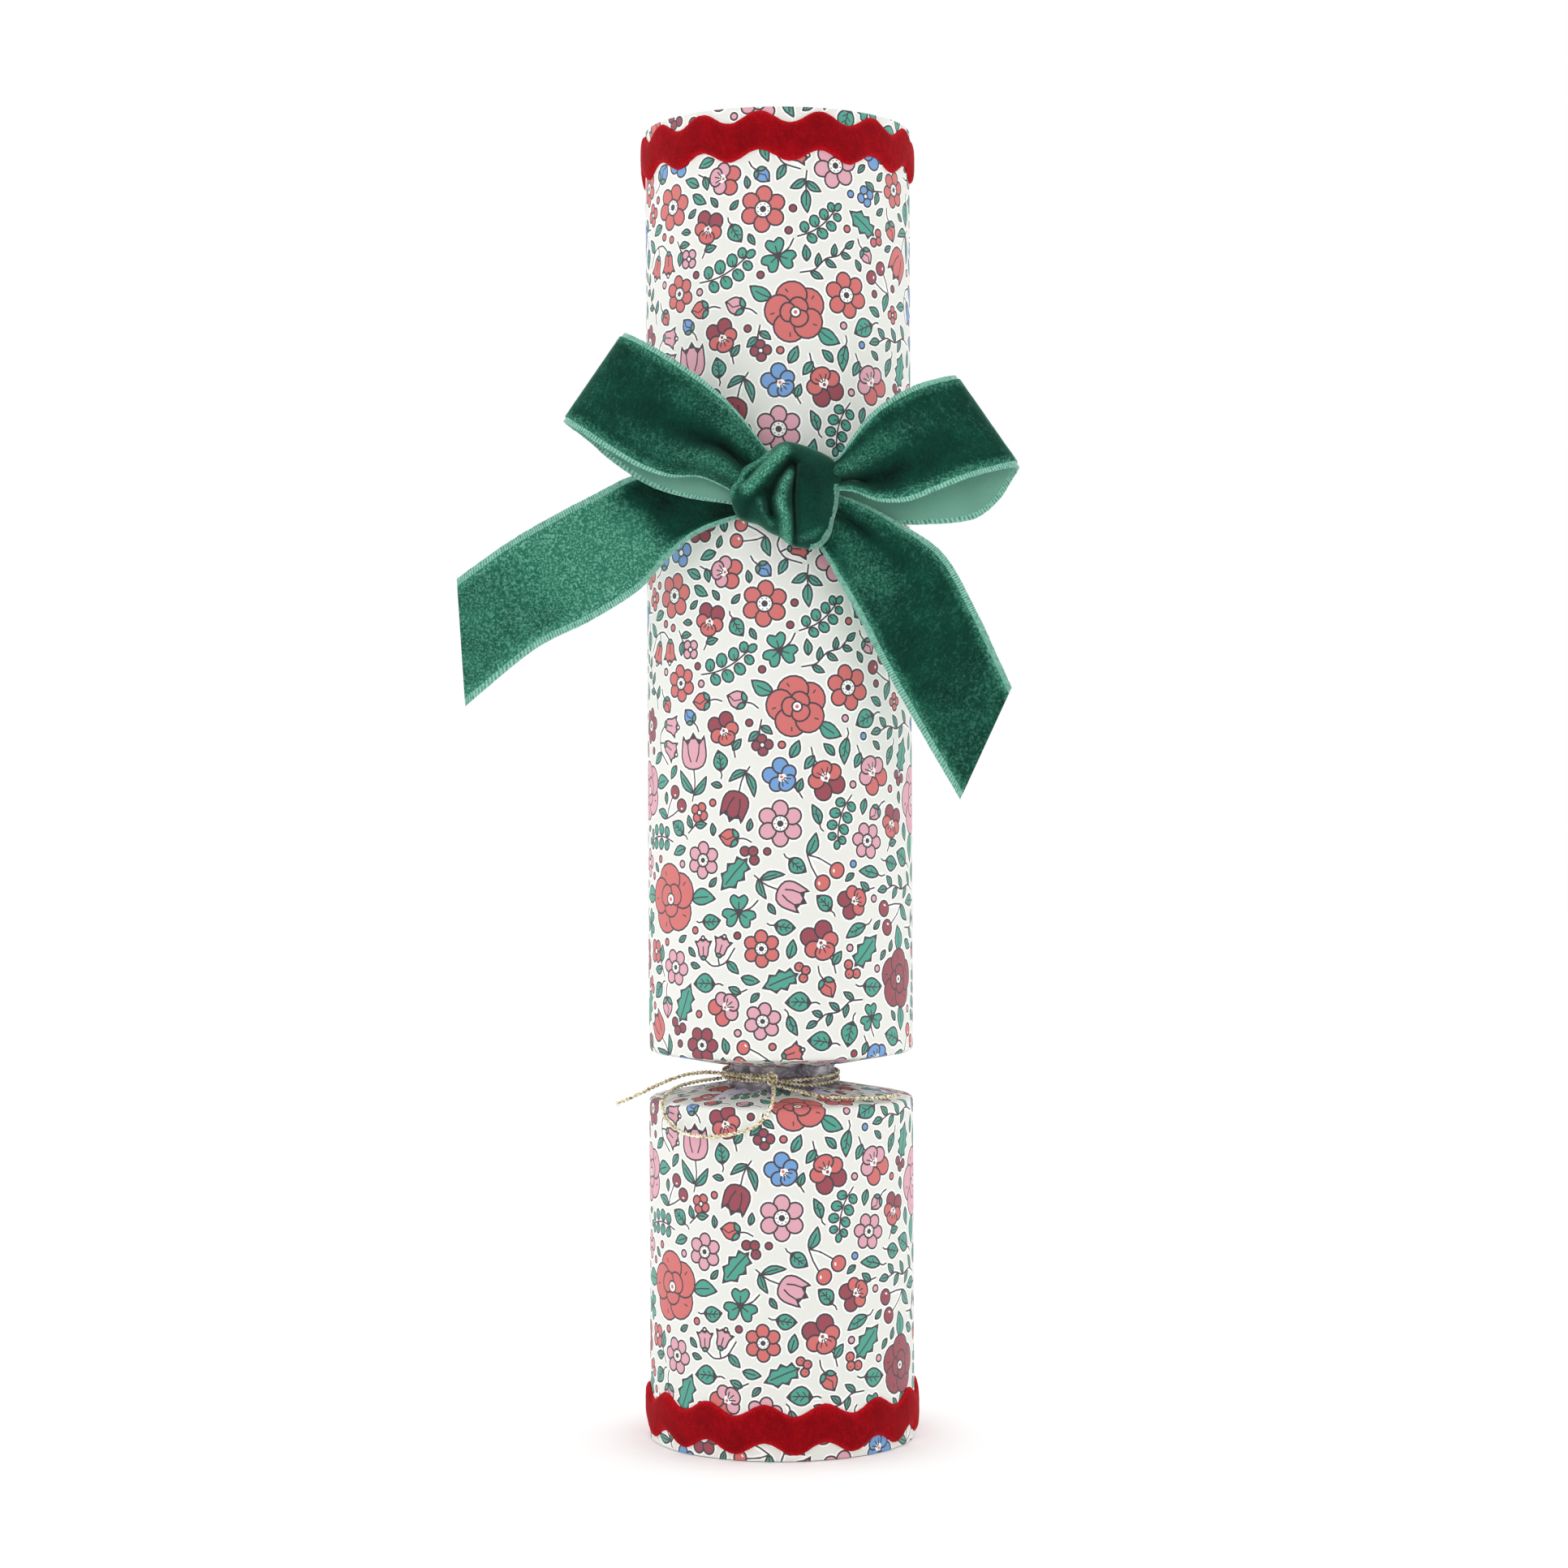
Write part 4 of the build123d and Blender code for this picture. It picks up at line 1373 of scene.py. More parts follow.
def tube_along(line, offsets, radius, sides, points, faces):
    """Add a round strand whose centre is offset from each point of a line."""
    base = len(points)
    for spot, (shift, first, second) in zip(line, offsets):
        for k in range(sides):
            points.append(spot + shift + spoke(first, second, math.tau * k / sides) * radius)
    faces += tube_faces(len(line), sides, base)


def carried_frames(line):
    """Two directions square to the line at each point, carried along without twist."""
    frames = []
    normal = None
    for i in range(len(line)):
        ahead = (line[min(i + 1, len(line) - 1)] - line[max(i - 1, 0)]).normalized()
        if normal is None:
            normal = ahead.orthogonal()
        normal = (normal - ahead * normal.dot(ahead)).normalized()
        frames.append((normal, ahead.cross(normal)))
    return frames


def cord_piece(name, line, material, frayed=False):
    """Two-ply metallic cord along a line, with loose filaments at a cut end."""
    line = spaced(line, CORD_STEP)
    frames = carried_frames(line)
    points, faces = [], []
    step = (line[1] - line[0]).length
    for ply in range(2):
        offsets = []
        for i, (first, second) in enumerate(frames):
            turn = math.tau * (i * step / CORD_LAY + ply / 2)
            shift = spoke(first, second, turn) * PLY_OFFSET
            offsets.append((shift, first, second))
        tube_along(line, offsets, PLY_RADIUS, PLY_SIDES, points, faces)
    if frayed:
        chance = random.Random(len(line))
        ahead = (line[-1] - line[-4]).normalized()
        first, second = frames[-1]
        for k in range(WISPS):
            swing = math.tau * k / WISPS + chance.uniform(-0.3, 0.3)
            aside = spoke(first, second, swing)
            reach = chance.uniform(1.0, 1.8)
            wisp = []
            for part in range(6):
                share = part / 5
                spread = aside * (0.2 + 0.55 * share * share)
                wisp.append(line[-1] + spread + ahead * (reach * share - 0.3))
            offsets = [(Vector((0, 0, 0)), a, b) for a, b in carried_frames(wisp)]
            tube_along(wisp, offsets, WISP_RADIUS, 4, points, faces)
    return build_mesh(name, points, faces, [material])


def winding_line():
    """Two turns round the lower neck, from the knot and back to it."""
    radius, pitch, gap, steps = 13.5, 1.4, 30.1, 60
    tied, apart, tilt, sag = 15.3, 0.5, 0.5, 0.3
    start, swept = math.radians(CORD_KNOT_DEGREES + gap), math.radians(720 - 2 * gap)
    behind = math.radians(CORD_KNOT_DEGREES + 180)
    route = []
    for k in range(steps + 1):
        angle = start + swept * k / steps
        height = LOWER_CHOKE + pitch * (angle - start - swept / 2) / math.tau
        height += tilt * math.cos(angle - behind) - sag
        route.append((radius * math.cos(angle), radius * math.sin(angle), height))
    angle = math.radians(CORD_KNOT_DEGREES)
    knot = (tied * math.cos(angle), tied * math.sin(angle))
    return nurbs_line([(*knot, LOWER_CHOKE - apart), *route, (*knot, LOWER_CHOKE + apart)])


def knot_line():
    """Small overhand knot where the cord is tied."""
    tied, core, lobe, tall, deep, steps = 15.6, 0.72, 0.38, 1.35, 0.5, 36
    angle = math.radians(CORD_KNOT_DEGREES)
    centre = Vector((tied * math.cos(angle), tied * math.sin(angle), LOWER_CHOKE))
    outward = Vector((math.cos(angle), math.sin(angle), 0))
    sideways = Vector((-math.sin(angle), math.cos(angle), 0))
    route = []
    for k in range(steps + 1):
        turn = math.tau * k / steps
        ring = core + lobe * math.cos(3 * turn)
        upward = Vector((0, 0, tall * ring * math.sin(2 * turn)))
        spot = sideways * (ring * math.cos(2 * turn)) + upward
        route.append(tuple(centre + spot + outward * (deep * math.sin(3 * turn))))
    return nurbs_line(route)


# Velvet bow

KNOT = Vector((1.0, 0.0, 216.5))
PILE = 0.6
WEAVE = 0.22
BACKING = 0.3
TAIL_WOVEN = 0.89
LOOP_WOVEN = 0.905
FRAYED_FROM, FRAYED_TO = 0.84, 0.92
RAGGED_FROM = 0.95
# Where the pile lightens towards the ribbon's edges: shorter brushed pile and painted sheen
BRUSHED_SHEEN_FROM, BRUSHED_SHEEN_OVER = 0.72, 0.16
EDGE_COLUMNS = [1.0, 0.985, 0.955, 0.925, 0.9, 0.88, 0.85]
COLUMNS = [-t for t in EDGE_COLUMNS] + [-0.8 + 0.08 * k for k in range(21)] + EDGE_COLUMNS[::-1]
LEFT_LOOP = [
    (4.0, 38.6, 5.0, -4.6, 0.6), (9.0, 39.4, 6.9, -5.0, 0.9), (14.0, 40.8, 8.7, -5.4, 1.2),
    (18.5, 42.0, 10.2, -6.6, 1.2), (23.6, 43.0, 11.4, -10.0, 0.9), (30.0, 43.6, 12.2, -11.8, 0.5),
    (37.0, 43.6, 12.5, -12.2, 0.25), (43.5, 43.2, 12.4, -12.1, 0.08),
    (47.9, 41.8, 12.1, -12.0, 0.0), (49.5, 39.1, 11.9, -11.9, 0.0), (47.9, 36.4, 11.8, -12.0, 0.0),
    (43.5, 35.1, 11.2, -12.3, 0.03), (36.5, 34.8, 10.0, -13.4, 0.1), (27.0, 34.6, 8.6, -13.6, 0.25),
    (19.0, 34.5, 7.0, -11.6, 0.4), (12.0, 34.5, 5.0, -8.6, 0.5), (4.0, 34.6, 3.0, -5.0, 0.4),
]
RIGHT_LOOP = [
    (4.0, 38.6, 2.6, -2.2, 0.6), (10.0, 39.4, 2.9, -2.6, 0.9), (14.5, 40.8, 3.9, -4.4, 1.2),
    (19.0, 42.0, 6.7, -8.6, 1.15), (24.5, 43.0, 10.0, -10.8, 0.9), (31.0, 43.6, 11.9, -10.8, 0.5),
    (37.5, 43.6, 12.7, -10.6, 0.25), (42.2, 43.2, 12.6, -10.9, 0.08),
    (46.6, 41.8, 12.2, -11.4, 0.0), (48.2, 39.1, 11.9, -11.9, 0.0), (46.6, 36.4, 10.6, -13.6, 0.0),
    (42.2, 35.1, 7.6, -17.2, 0.03), (36.2, 34.8, 5.0, -18.9, 0.1), (27.0, 34.6, 5.5, -16.4, 0.25),
    (19.0, 34.5, 4.4, -13.0, 0.4), (12.0, 34.5, 3.0, -8.5, 0.5), (4.0, 34.6, 2.0, -4.0, 0.4),
]
LEFT_TAIL = [
    (-3.0, 4.0, -3.0, -3.0, 32.7), (-14.5, 6.5, -12.0, -4.9, 32.9), (-24.5, 7.0, -20.0, -8.3, 33.2),
    (-34.0, 5.2, -26.5, -14.0, 33.2), (-41.5, 1.6, -32.5, -20.4, 33.0),
    (-52.3, -3.9, -43.5, -27.2, 32.2), (-62.5, -9.8, -56.0, -33.5, 31.6),
    (-73.4, -17.6, -71.6, -46.2, 32.0),
]
RIGHT_TAIL = [
    (2.0, -3.5, 5.0, 2.5, 37.0), (8.1, -11.3, 16.6, -1.1, 36.8), (12.4, -18.8, 26.3, -6.0, 36.0),
    (16.6, -26.4, 36.1, -12.9, 34.4), (21.8, -36.5, 43.5, -25.8, 33.0),
    (30.5, -52.0, 47.6, -34.6, 32.2), (39.5, -67.6, 51.2, -42.5, 32.2),
]


def heading(degrees):
    """Unit vector in the XZ plane, measured from +X towards +Z."""
    return Vector((math.cos(math.radians(degrees)), 0, math.sin(math.radians(degrees))))


def through(stops, share):
    """Smooth path through stops of numbers, at a share of the way."""
    spot = min(max(share, 0.0), 1.0) * (len(stops) - 1)
    i = min(int(spot), len(stops) - 2)
    t = spot - i
    a, b, c, d = (stops[min(max(k, 0), len(stops) - 1)] for k in (i - 1, i, i + 1, i + 2))
    return [spline_at(p, q, r, s, t) for p, q, r, s in zip(a, b, c, d)]


def creases(t, folds):
    """Height of the gathers across the ribbon, from (place, half width, height) folds."""
    return sum(height * math.exp(-(((t - place) / half) ** 2)) for place, half, height in folds)


def loop_surface(along, stops, skew, front_folds, back_folds):
    """Surface of a loop and the height of its gathers: out of the knot, round the fold and back.

    The stops give the way out, the depth, the upper and lower edges and how far it is gathered.
    """
    upward = 1 if math.cos(math.radians(along)) > 0 else -1
    across = heading(along + upward * 90)
    length = max(stop[0] for stop in stops)

    def gathers(share, t):
        return through(stops, share)[4] * creases(t, front_folds if share < 0.53 else back_folds)

    def surface(share, t):
        out, depth, upper, lower, _ = through(stops, share)
        out -= skew * t * (out / length) ** 2
        depth += gathers(share, t) + 0.5 * (1 - t * t) * math.cos(math.pi * share)
        rise = across * mix(lower, upper, (t + 1) / 2)
        return KNOT + heading(along) * out + rise + Vector((0, -depth, 0))

    return surface, gathers


def tail_surface(stops, folds):
    """Surface of a tail and the height of its gathers, from inside the knot to its slanted cut.

    The stops give the places of both edges, from the knot's centre, and the depth.
    """

    def gathers(share, t):
        return (1 - smooth(share / 0.6)) * creases(t, folds) * smooth(share / 0.1)

    def surface(share, t):
        near_x, near_z, far_x, far_z, depth = through(stops, share)
        side = (t + 1) / 2
        depth += gathers(share, t)
        return KNOT + Vector((mix(near_x, far_x, side), -depth, mix(near_z, far_z, side)))

    return surface, gathers


def ribbon_piece(name, surface, rows, materials, facing, painted_light_of, seed, woven):
    """Velvet ribbon over a surface: pile in front, satin behind, a woven edge along each side."""
    columns = len(COLUMNS)
    grid = []
    for i in range(rows):
        frayed = 0.009 * noise.noise(Vector((1.3 * i, seed, 0.5)))
        shifted = []
        for t in COLUMNS:
            inside = FRAYED_FROM < abs(t) < FRAYED_TO
            shifted.append(t + math.copysign(frayed, t) if inside else t)
        grid.append([surface(i / (rows - 1), t) for t in shifted])
    front, back, lay_and_painted_light = [], [], []
    for i in range(rows):
        for j, t in enumerate(COLUMNS):
            along = grid[min(i + 1, rows - 1)][j] - grid[max(i - 1, 0)][j]
            across = grid[i][min(j + 1, columns - 1)] - grid[i][max(j - 1, 0)]
            normal = along.cross(across).normalized() * facing
            spot = grid[i][j]
            tuft = noise.noise(spot * 1.7 + Vector((seed, 0, 0)))
            fine = noise.noise(spot * 5.1 + Vector((0, seed, 0)))
            pile = PILE + 0.05 * tuft + 0.04 * fine if abs(t) < woven else WEAVE + 0.1 * fine
            if abs(t) > RAGGED_FROM:
                spot = spot + across.normalized() * (0.09 * fine * math.copysign(1, t))
            front.append(spot + normal * pile)
            back.append(spot - normal * BACKING)
            # Painted light and shade of the piece, lighter towards both edges as brushed pile and
            # painted sheen, with random tone
            brushed_and_painted_sheen = 0.28 * smooth((abs(t) - BRUSHED_SHEEN_FROM) / BRUSHED_SHEEN_OVER)
            lay_and_painted_light.append(painted_light_of(i / (rows - 1), t) + brushed_and_painted_sheen + 0.1 * tuft)
    base = len(front)
    faces, slots = [], []
    for corners in grid_faces(rows, columns):
        j = corners[0] % columns
        edge = abs(COLUMNS[j] + COLUMNS[j + 1]) / 2 > woven - 0.005
        if facing > 0:
            corners = corners[::-1]
        faces += [corners, [base + k for k in reversed(corners)]]
        slots += [2, 2] if edge else [0, 1]
    uv = []
    for face in faces:
        for k in face:
            lift = 0.5 if k >= base else 0.0
            i, j = divmod(k % base, columns)
            uv.append((i / (rows - 1), lift + 0.23 * (COLUMNS[j] + 1)))
    border = list(range(columns))
    border += [i * columns + columns - 1 for i in range(1, rows)]
    border += [(rows - 1) * columns + j for j in range(columns - 2, -1, -1)]
    border += [i * columns for i in range(rows - 2, 0, -1)]
    for a, b in zip(border, border[1:] + border[:1]):
        side = [a, base + a, base + b, b]
        if facing > 0:
            side.reverse()
        faces.append(side)
        slots.append(2)
        spot = border.index(a) / len(border)
        uv += [(spot, 0.97), (spot, 0.99), (spot + 0.001, 0.99), (spot + 0.001, 0.97)]
    lay_and_painted_light += [0.2] * len(back)
    return build_mesh(name, front + back, faces, materials, slots, uv=uv, lay_and_painted_light=lay_and_painted_light)


KNOT_OUTLINE = [
    (1.5, 12.1), (-3.2, 10.0), (-6.2, 8.0), (-9.5, 5.8), (-11.4, 2.4), (-11.8, 0.1), (-10.0, -4.8),
    (-5.7, -6.3), (-3.2, -8.0), (-0.6, -9.2), (2.1, -11.1), (7.1, -11.8), (10.2, -9.3),
    (11.4, -5.1), (12.3, -1.0), (12.0, 7.3),
]
KNOT_FRONT_FOLD = [(1.5, 4.3), (0.1, 2.0), (-0.6, -1.1), (-0.2, -3.1)]
KNOT_FRONT_FOLD += [(0.5, -5.0), (0.8, -8.0), (0.9, -10.3)]
# Folds of the knot: the line of each, how far it sinks or swells, its half width, and the painted
# light on it (lighter on ridges, darker in valleys)
KNOT_FOLDS = [
    ([(-3.0, 9.5), (-5.9, 7.6), (-8.8, 5.1), (-11.0, 2.4), (-11.8, 0.0)], 0.9, 0.8, 0.62),
    ([(-2.2, 9.4), (-5.2, 6.6), (-8.0, 3.5)], -1.4, 0.6, -0.2),
    ([(0.1, 9.6), (-2.2, 7.6), (-4.5, 5.3), (-6.5, 2.9), (-7.7, 1.6)], 1.5, 1.5, 0.72),
    ([(1.7, 7.3), (-1.2, 3.4), (-3.0, -1.1), (-2.6, -4.1)], -2.4, 1.2, -0.25),
    ([(-3.7, 1.2), (-6.5, -0.9), (-8.2, -4.1)], -1.0, 1.2, -0.15),
    ([(-5.3, -1.1), (-3.9, -4.6), (-2.6, -6.2)], 0.8, 0.8, 0.22),
    (KNOT_FRONT_FOLD, 1.6, 1.15, 0.58),
    ([(2.9, 6.6), (2.5, 2.7), (2.3, -1.1), (2.5, -5.0), (2.7, -10.5)], -2.2, 0.75, -0.25),
    ([(6.5, 4.0), (7.2, 0.0), (6.6, -5.0)], 0.9, 3.2, -0.1),
    ([(3.6, -9.6), (6.0, -9.2), (8.0, -7.8)], 0.3, 0.9, 0.2),
]
KNOT_EDGE = [(12.0, 1.8), (12.1, -1.0), (11.7, -4.0), (10.4, -8.0), (8.6, -10.8), (6.6, -11.6)]
KNOT_EDGE_HALF = 0.75


def knot_piece(name, materials):
    """Knot of the bow: a wrapped lump with the folds that the photograph shows, with painted light
    and shade on them.
    """
    outline = curved(KNOT_OUTLINE, steps=10)
    table = sorted((math.atan2(y, x), math.hypot(x, y)) for x, y in outline)
    angles = [angle for angle, _ in table]

    def reach(angle):
        i = bisect.bisect_right(angles, angle) % len(table)
        (low, near), (high, far) = table[i - 1], table[i]
        gap = (high - low) % math.tau
        return mix(near, far, ((angle - low) % math.tau) / gap if gap else 0.0)

    columns, steps = 216, 52
    seat, rim, crown = 31.6, 8.0, 6.0
    front, back, shown = -46.0, -31.65, -35.5
    rings = [(k / steps, None) for k in range(1, steps)]
    rings += [(1.0, rim), (0.985, 5.6), (0.95, 3.6), (0.86, 1.2), (0.74, 0.15), (0.4, 0.1)]
    points = [Vector((KNOT.x, front, KNOT.z))]
    lay_and_painted_light = [0.3]
    for share, height in rings:
        for k in range(columns):
            angle = math.tau * k / columns - math.pi
            radius = reach(angle) * share
            x, z = radius * math.cos(angle), radius * math.sin(angle)
            painted_fold_light = 0.0
            if height is None:
                depth = rim + crown * (1 - share**3.2) ** 0.62
                for line, amount, half, light in KNOT_FOLDS:
                    near = math.exp(-((off_line(x, z, line) / half) ** 2))
                    depth += amount * near * (1 - share**7)
                    painted_fold_light += light * near
                depth += 0.06 * noise.noise(Vector((x * 2.2, z * 2.2, 4.0)))
            else:
                depth = height
            points.append(Vector((KNOT.x + x, -(seat + depth), KNOT.z + z)))
            lay_and_painted_light.append(0.06 + painted_fold_light)
    points.append(Vector((KNOT.x, back, KNOT.z)))
    lay_and_painted_light.append(0.0)
    last = len(points) - 1
    faces = [(0, 1 + k, 1 + (k + 1) % columns) for k in range(columns)]
    faces += grid_faces(len(rings), columns, close_columns=True, base=1)
    start = 1 + (len(rings) - 1) * columns
    faces += [(start + (k + 1) % columns, start + k, last) for k in range(columns)]
    slots = []
    for face in faces:
        middle = sum((points[k] for k in face), Vector()) / len(face)
        x, z = middle.x - KNOT.x, middle.z - KNOT.z
        slots.append(int(middle.y < shown and off_line(x, z, KNOT_EDGE) < KNOT_EDGE_HALF))
    faces = [tuple(reversed(face)) for face in faces]
    return build_mesh(name, points, faces, materials, slots, lay_and_painted_light=lay_and_painted_light)


def shoulder_room(radius):
    """Half the room in the groove at a radius, less a small gap."""
    slope = (CHOKE_HALF - NECK_HALF) / (WRAP_RADIUS - NECK_RADIUS)
    return NECK_HALF + (radius - NECK_RADIUS) * slope - 0.4


def neck_band_piece(name, material):
    """Ribbon crushed into the upper choke, with its lead out to the knot."""
    columns, ring, middle, half = 160, 28, 16.25, 2.85
    inner, outer = 13.2, 19.6
    points, lay_and_painted_light = [], []
    for i in range(columns):
        angle = math.tau * i / columns
        sway = noise.noise(Vector((2.2 * math.cos(angle), 2.2 * math.sin(angle), 9.0)))
        for k in range(ring):
            swing = math.tau * k / ring
            ridge = 0.45 * math.cos(6 * swing + 3.0 * sway) * max(math.cos(swing), 0.0)
            radius = middle + half * math.cos(swing) + ridge
            room = shoulder_room(min(max(radius, inner), outer))
            height = UPPER_CHOKE + room * math.sin(swing) * 0.96
            points.append(Vector((radius * math.cos(angle), radius * math.sin(angle), height)))
            # Painted light: lighter on the ridges of the crushed band
            lay_and_painted_light.append(0.1 + 0.35 * ridge)
    faces = grid_faces(columns, ring, close_rows=True, close_columns=True)
    base = len(points)
    rows, around, near, far, least, most = 14, 26, 17.0, 32.4, 2.3, 4.3
    broad, square = 6.0, 0.6
    for i in range(rows):
        share = i / (rows - 1)
        y = -mix(near, far, share)
        room = min(mix(least, most, share), shoulder_room(-y) if y > -WRAP_RADIUS else most)
        for k in range(around):
            swing = math.tau * k / around
            round_x = math.copysign(abs(math.cos(swing)) ** square, math.cos(swing))
            round_z = math.copysign(abs(math.sin(swing)) ** square, math.sin(swing))
            fold = 1 + 0.07 * math.cos(5 * swing + 2 * share)
            height = UPPER_CHOKE + room * round_z * 0.97
            points.append(Vector((broad * round_x * fold, y, height)))
            lay_and_painted_light.append(0.1)
    faces += tube_faces(rows, around, base)
    return build_mesh(name, points, faces, [material], lay_and_painted_light=lay_and_painted_light)


# The dressed cracker


def dress(piece, body, slot, *replaced):
    """Let a piece ride on its body in place of its CAD nodes."""
    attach(piece, body)
    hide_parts(*replaced)
    return piece


def repaint(material, *names):
    """Give CAD nodes that keep their shape a better material."""
    for name in names:
        data = nodes[name].data
        data.materials.clear()
        data.materials.append(material)


def in_metres(line):
    """Points of a line in metres."""
    return [tuple(spot * MM) for spot in line]


def make_floor():
    """Wide floor, a hair below the cracker."""
    side, drop = 3.0, 0.0002
    corners = [(-side, -side, 0), (side, -side, 0), (side, side, 0), (-side, side, 0)]
    mesh = bpy.data.meshes.new("floor")
    mesh.from_pydata(corners, [], [(0, 1, 2, 3)])
    mesh.materials.append(floor_material())
    floor = add_object("floor", mesh)
    floor.location.z = -drop


def make_cords():
    """Gold cord of the lower choke: winding, knot, hanging loop and two cut ends."""
    gold = gold_thread("gold_cord")
    for name, line in (("winding", winding_line()), ("knot", knot_line())):
        piece = cord_piece(f"cord_{name}", line, gold)
        dress(piece, "lower_end", "gold_cord", f"choke_cord_{name}")
    stretches = [
        ("loop", CORD_LOOP_ROUTE, 0.0742, "object", "hanging"),
        ("left_end", CORD_LEFT_ROUTE, 0.0389, "bare", "loose"),
        ("right_end", CORD_RIGHT_ROUTE, 0.0333, "bare", "loose"),
    ]
    for name, route, length, far_end, lay_and_painted_light in stretches:
        line = nurbs_line(route)
        piece = cord_piece(f"cord_{name}", line, gold, frayed=far_end == "bare")
        dress(piece, "lower_end", "gold_cord", f"choke_cord_{name}")
        path = in_metres(line)
        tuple(path[0])


def make_paper(materials):
    """Printed paper of the three drums, with the lining under their shoulders."""
    lower, barrel, upper = make_sections()
    pattern = lay_out_pattern()
    lilac = fibrous_paper("lilac_lining", (132, 126, 150), (160, 153, 180), 1500, 0.75, 0.05)
    drums = [
        ("lower_end", lower, [(False, 0, LOW_SLITS)]),
        ("barrel", barrel, [(True, 0, HIGH_SLITS), (False, 20, LOW_SLITS)]),
        ("upper_end", upper, [(True, -15, HIGH_SLITS)]),
    ]
    for name, section, shoulders in drums:
        slits = []
        for first, shift, table in shoulders:
            for angle, outer, half in table:
                slits.append(slit_wedge(section, first, angle + shift, outer, half))
        piece = paper_piece(f"{name}_print", section, pattern, slits, materials)
        dress(piece, name, "printed_paper", f"{name}_wrap")
    linings = [
        ("lower_end_lining", lower, False, LOWER_CHOKE, -1, "lower_end"),
        ("barrel_lower_lining", barrel, True, LOWER_CHOKE, 1, "barrel"),
        ("barrel_upper_lining", barrel, False, UPPER_CHOKE, -1, "barrel"),
        ("upper_end_lining", upper, True, UPPER_CHOKE, 1, "upper_end"),
    ]
    for node, section, first, choke, side, body in linings:
        piece = lining_piece(f"{node}_pleated", section, first, choke, side, lilac)
        dress(piece, body, "lining_paper", node)


LOWER_BRAID = 7.025
UPPER_BRAID = LENGTH - 6.525


def make_braids():
    """Red velvet ric-rac round both rims."""
    # Dark, mid and bright pile, then the painted glint colour and the sheen tint
    tones = ((90, 0, 6), (134, 0, 11), (176, 6, 20), (190, 26, 36), (190, 40, 48))
    red = velvet("red_velvet", *tones)
    lower = ricrac_piece("lower_braid", LOWER_BRAID, red, 2.0)
    dress(lower, "lower_end", "braid_velvet", "lower_ricrac")
    upper = ricrac_piece("upper_braid", UPPER_BRAID, red, 5.0)
    dress(upper, "upper_end", "braid_velvet", "upper_ricrac")


def path_length(surface):
    """Length of a ribbon along its middle, in metres."""
    spots = [surface(k / 200, 0.0) for k in range(201)]
    return sum((end - start).length for start, end in zip(spots, spots[1:])) * MM


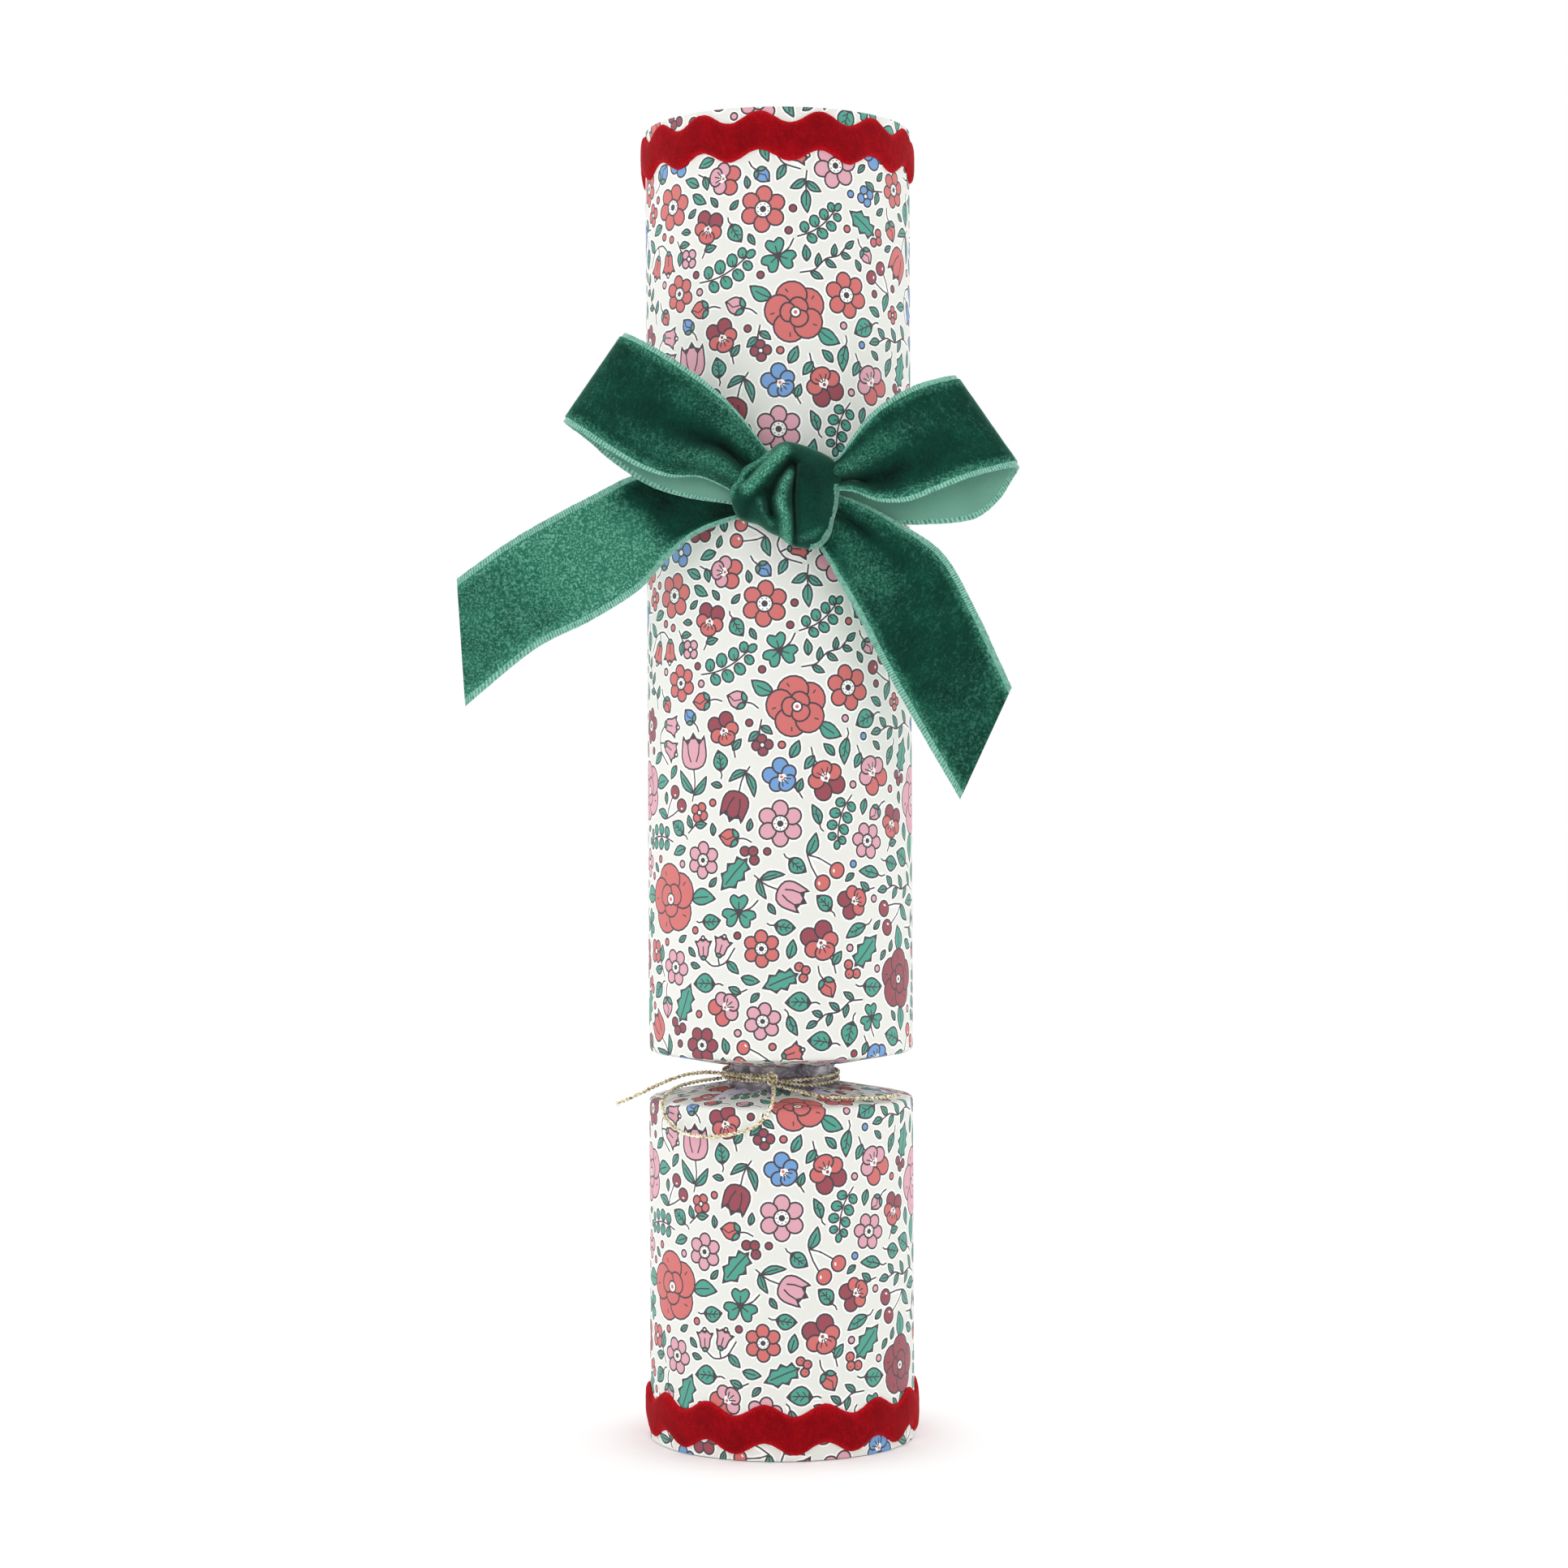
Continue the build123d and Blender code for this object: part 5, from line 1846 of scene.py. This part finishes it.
def make_bow():
    """Velvet bow of the upper choke."""
    # Dark, mid and bright pile, then the painted glint colour and the sheen tint
    tones = ((3, 26, 20), (9, 60, 47), (40, 108, 86), (124, 188, 164), (130, 200, 176))
    pile = velvet("green_velvet", *tones)
    reverse = satin("satin_reverse", (70, 122, 106), (110, 172, 150))
    edge = woven_edge("woven_edge", (58, 124, 104), (140, 198, 180))
    materials = [pile, reverse, edge]
    knot = dress(knot_piece("velvet_knot", [pile, edge]), "bow", "ribbon_velvet", "bow_knot")
    dress(neck_band_piece("velvet_neck_band", pile), "bow", "ribbon_velvet", "ribbon_neck_band")
    left_loop, left_gathers = loop_surface(
        along=147.7,
        stops=LEFT_LOOP,
        skew=0.5,
        front_folds=[(0.6, 0.3, 1.3), (0.02, 0.24, -2.4), (-0.5, 0.24, 1.8), (-1.0, 0.22, -1.8)],
        back_folds=[(0.4, 0.4, -0.8), (-0.5, 0.4, 0.8)],
    )
    right_loop, right_gathers = loop_surface(
        along=19.7,
        stops=RIGHT_LOOP,
        skew=3.2,
        front_folds=[(0.75, 0.3, -0.6), (0.3, 0.26, 1.7), (-0.3, 0.3, -2.6), (-0.9, 0.25, 1.0)],
        back_folds=[(0.4, 0.4, -0.5), (-0.5, 0.4, 0.5)],
    )
    left_tail, left_waves = tail_surface(
        LEFT_TAIL, [(-0.5, 0.3, -0.5), (0.2, 0.3, 0.7), (0.75, 0.25, -0.9)]
    )
    right_tail, right_waves = tail_surface(
        RIGHT_TAIL, [(0.8, 0.3, 1.1), (0.33, 0.16, -2.1), (-0.2, 0.35, 1.0), (-0.9, 0.25, -0.5)]
    )

    # Painted light along the left tail: dark near the knot, a lit band past a third of its length
    # that fades towards the cut, lighter on fold ridges
    def left_tail_painted_light(share, t):
        lit = smooth((share + 0.09 * t - 0.33) / 0.24)
        fading = smooth((share + 0.07 * t - 0.69) / 0.2)
        return -0.1 + 0.72 * lit - 0.26 * fading + 0.1 * left_waves(share, t)

    # Painted highlight where a fold of the right tail catches the light, a little lighter towards
    # the tip, lighter on fold ridges
    def right_tail_painted_light(share, t):
        painted_highlight = math.exp(-(((share - 0.42) / 0.11) ** 2) - ((t + 0.4) / 0.5) ** 2)
        tip = 0.07 * smooth((share - 0.7) / 0.2)
        return 0.1 + 0.14 * painted_highlight + tip + 0.14 * right_waves(share, t)

    # Painted light of a loop: lighter on the ridges of its gathers, darker in their valleys
    def loop_painted_light(gathers):
        return lambda share, t: 0.1 + 0.1 * gathers(share, t)

    pieces = [
        ("left_loop", left_loop, 190, -1, loop_painted_light(left_gathers)),
        ("right_loop", right_loop, 190, 1, loop_painted_light(right_gathers)),
        ("left_tail", left_tail, 150, 1, left_tail_painted_light),
        ("right_tail", right_tail, 140, 1, right_tail_painted_light),
    ]
    for seed, (name, surface, rows, facing, lay_and_painted_light) in enumerate(pieces):
        folded = "loop" in name
        woven = LOOP_WOVEN if folded else TAIL_WOVEN
        look = (materials, facing, lay_and_painted_light, 7.0 * seed, woven)
        piece = ribbon_piece(f"velvet_{name}", surface, rows, *look)
        dress(piece, "bow", "ribbon_velvet", f"bow_{name}")
        path_length(surface)


def repaint_inside():
    """Materials of the CAD nodes that keep their shape: card, snap and the things in the barrel."""
    tubes = ("lower_end_tube", "barrel_tube", "upper_end_tube")
    strips = ("snap_lower_strip", "snap_upper_strip")
    slips = ("motto_slip", "crown_band")
    papers = [
        (tubes, "grey_board", (176, 170, 160), (206, 201, 192), 900, 0.85, 0.06),
        (strips, "snap_card", (214, 200, 170), (232, 221, 196), 1100, 0.8, 0.04),
        (("snap_sleeve",), "snap_sleeve_paper", (150, 116, 82), (180, 146, 108), 1100, 0.8, 0.05),
        (("snap_charge",), "snap_charge_grains", (52, 48, 50), (92, 86, 88), 2200, 0.9, 0.2),
        (slips, "white_paper", (232, 231, 226), (248, 247, 243), 1200, 0.7, 0.03),
    ]
    for names, *paper in papers:
        repaint(fibrous_paper(*paper), *names)
    repaint(tissue("crown_tissue", (168, 22, 38), (206, 48, 60)), "paper_crown")
    repaint(turned_wood("beech", (190, 142, 90), (222, 180, 126)), "gift_top_stem")
    repaint(turned_wood("stained_beech", (24, 96, 74), (48, 130, 104)), "gift_top_disc")


def main():
    """Build the scene."""
    set_camera()
    set_light()
    make_floor()
    make_cords()
    make_paper(print_materials())
    make_braids()
    make_bow()
    repaint_inside()


main()
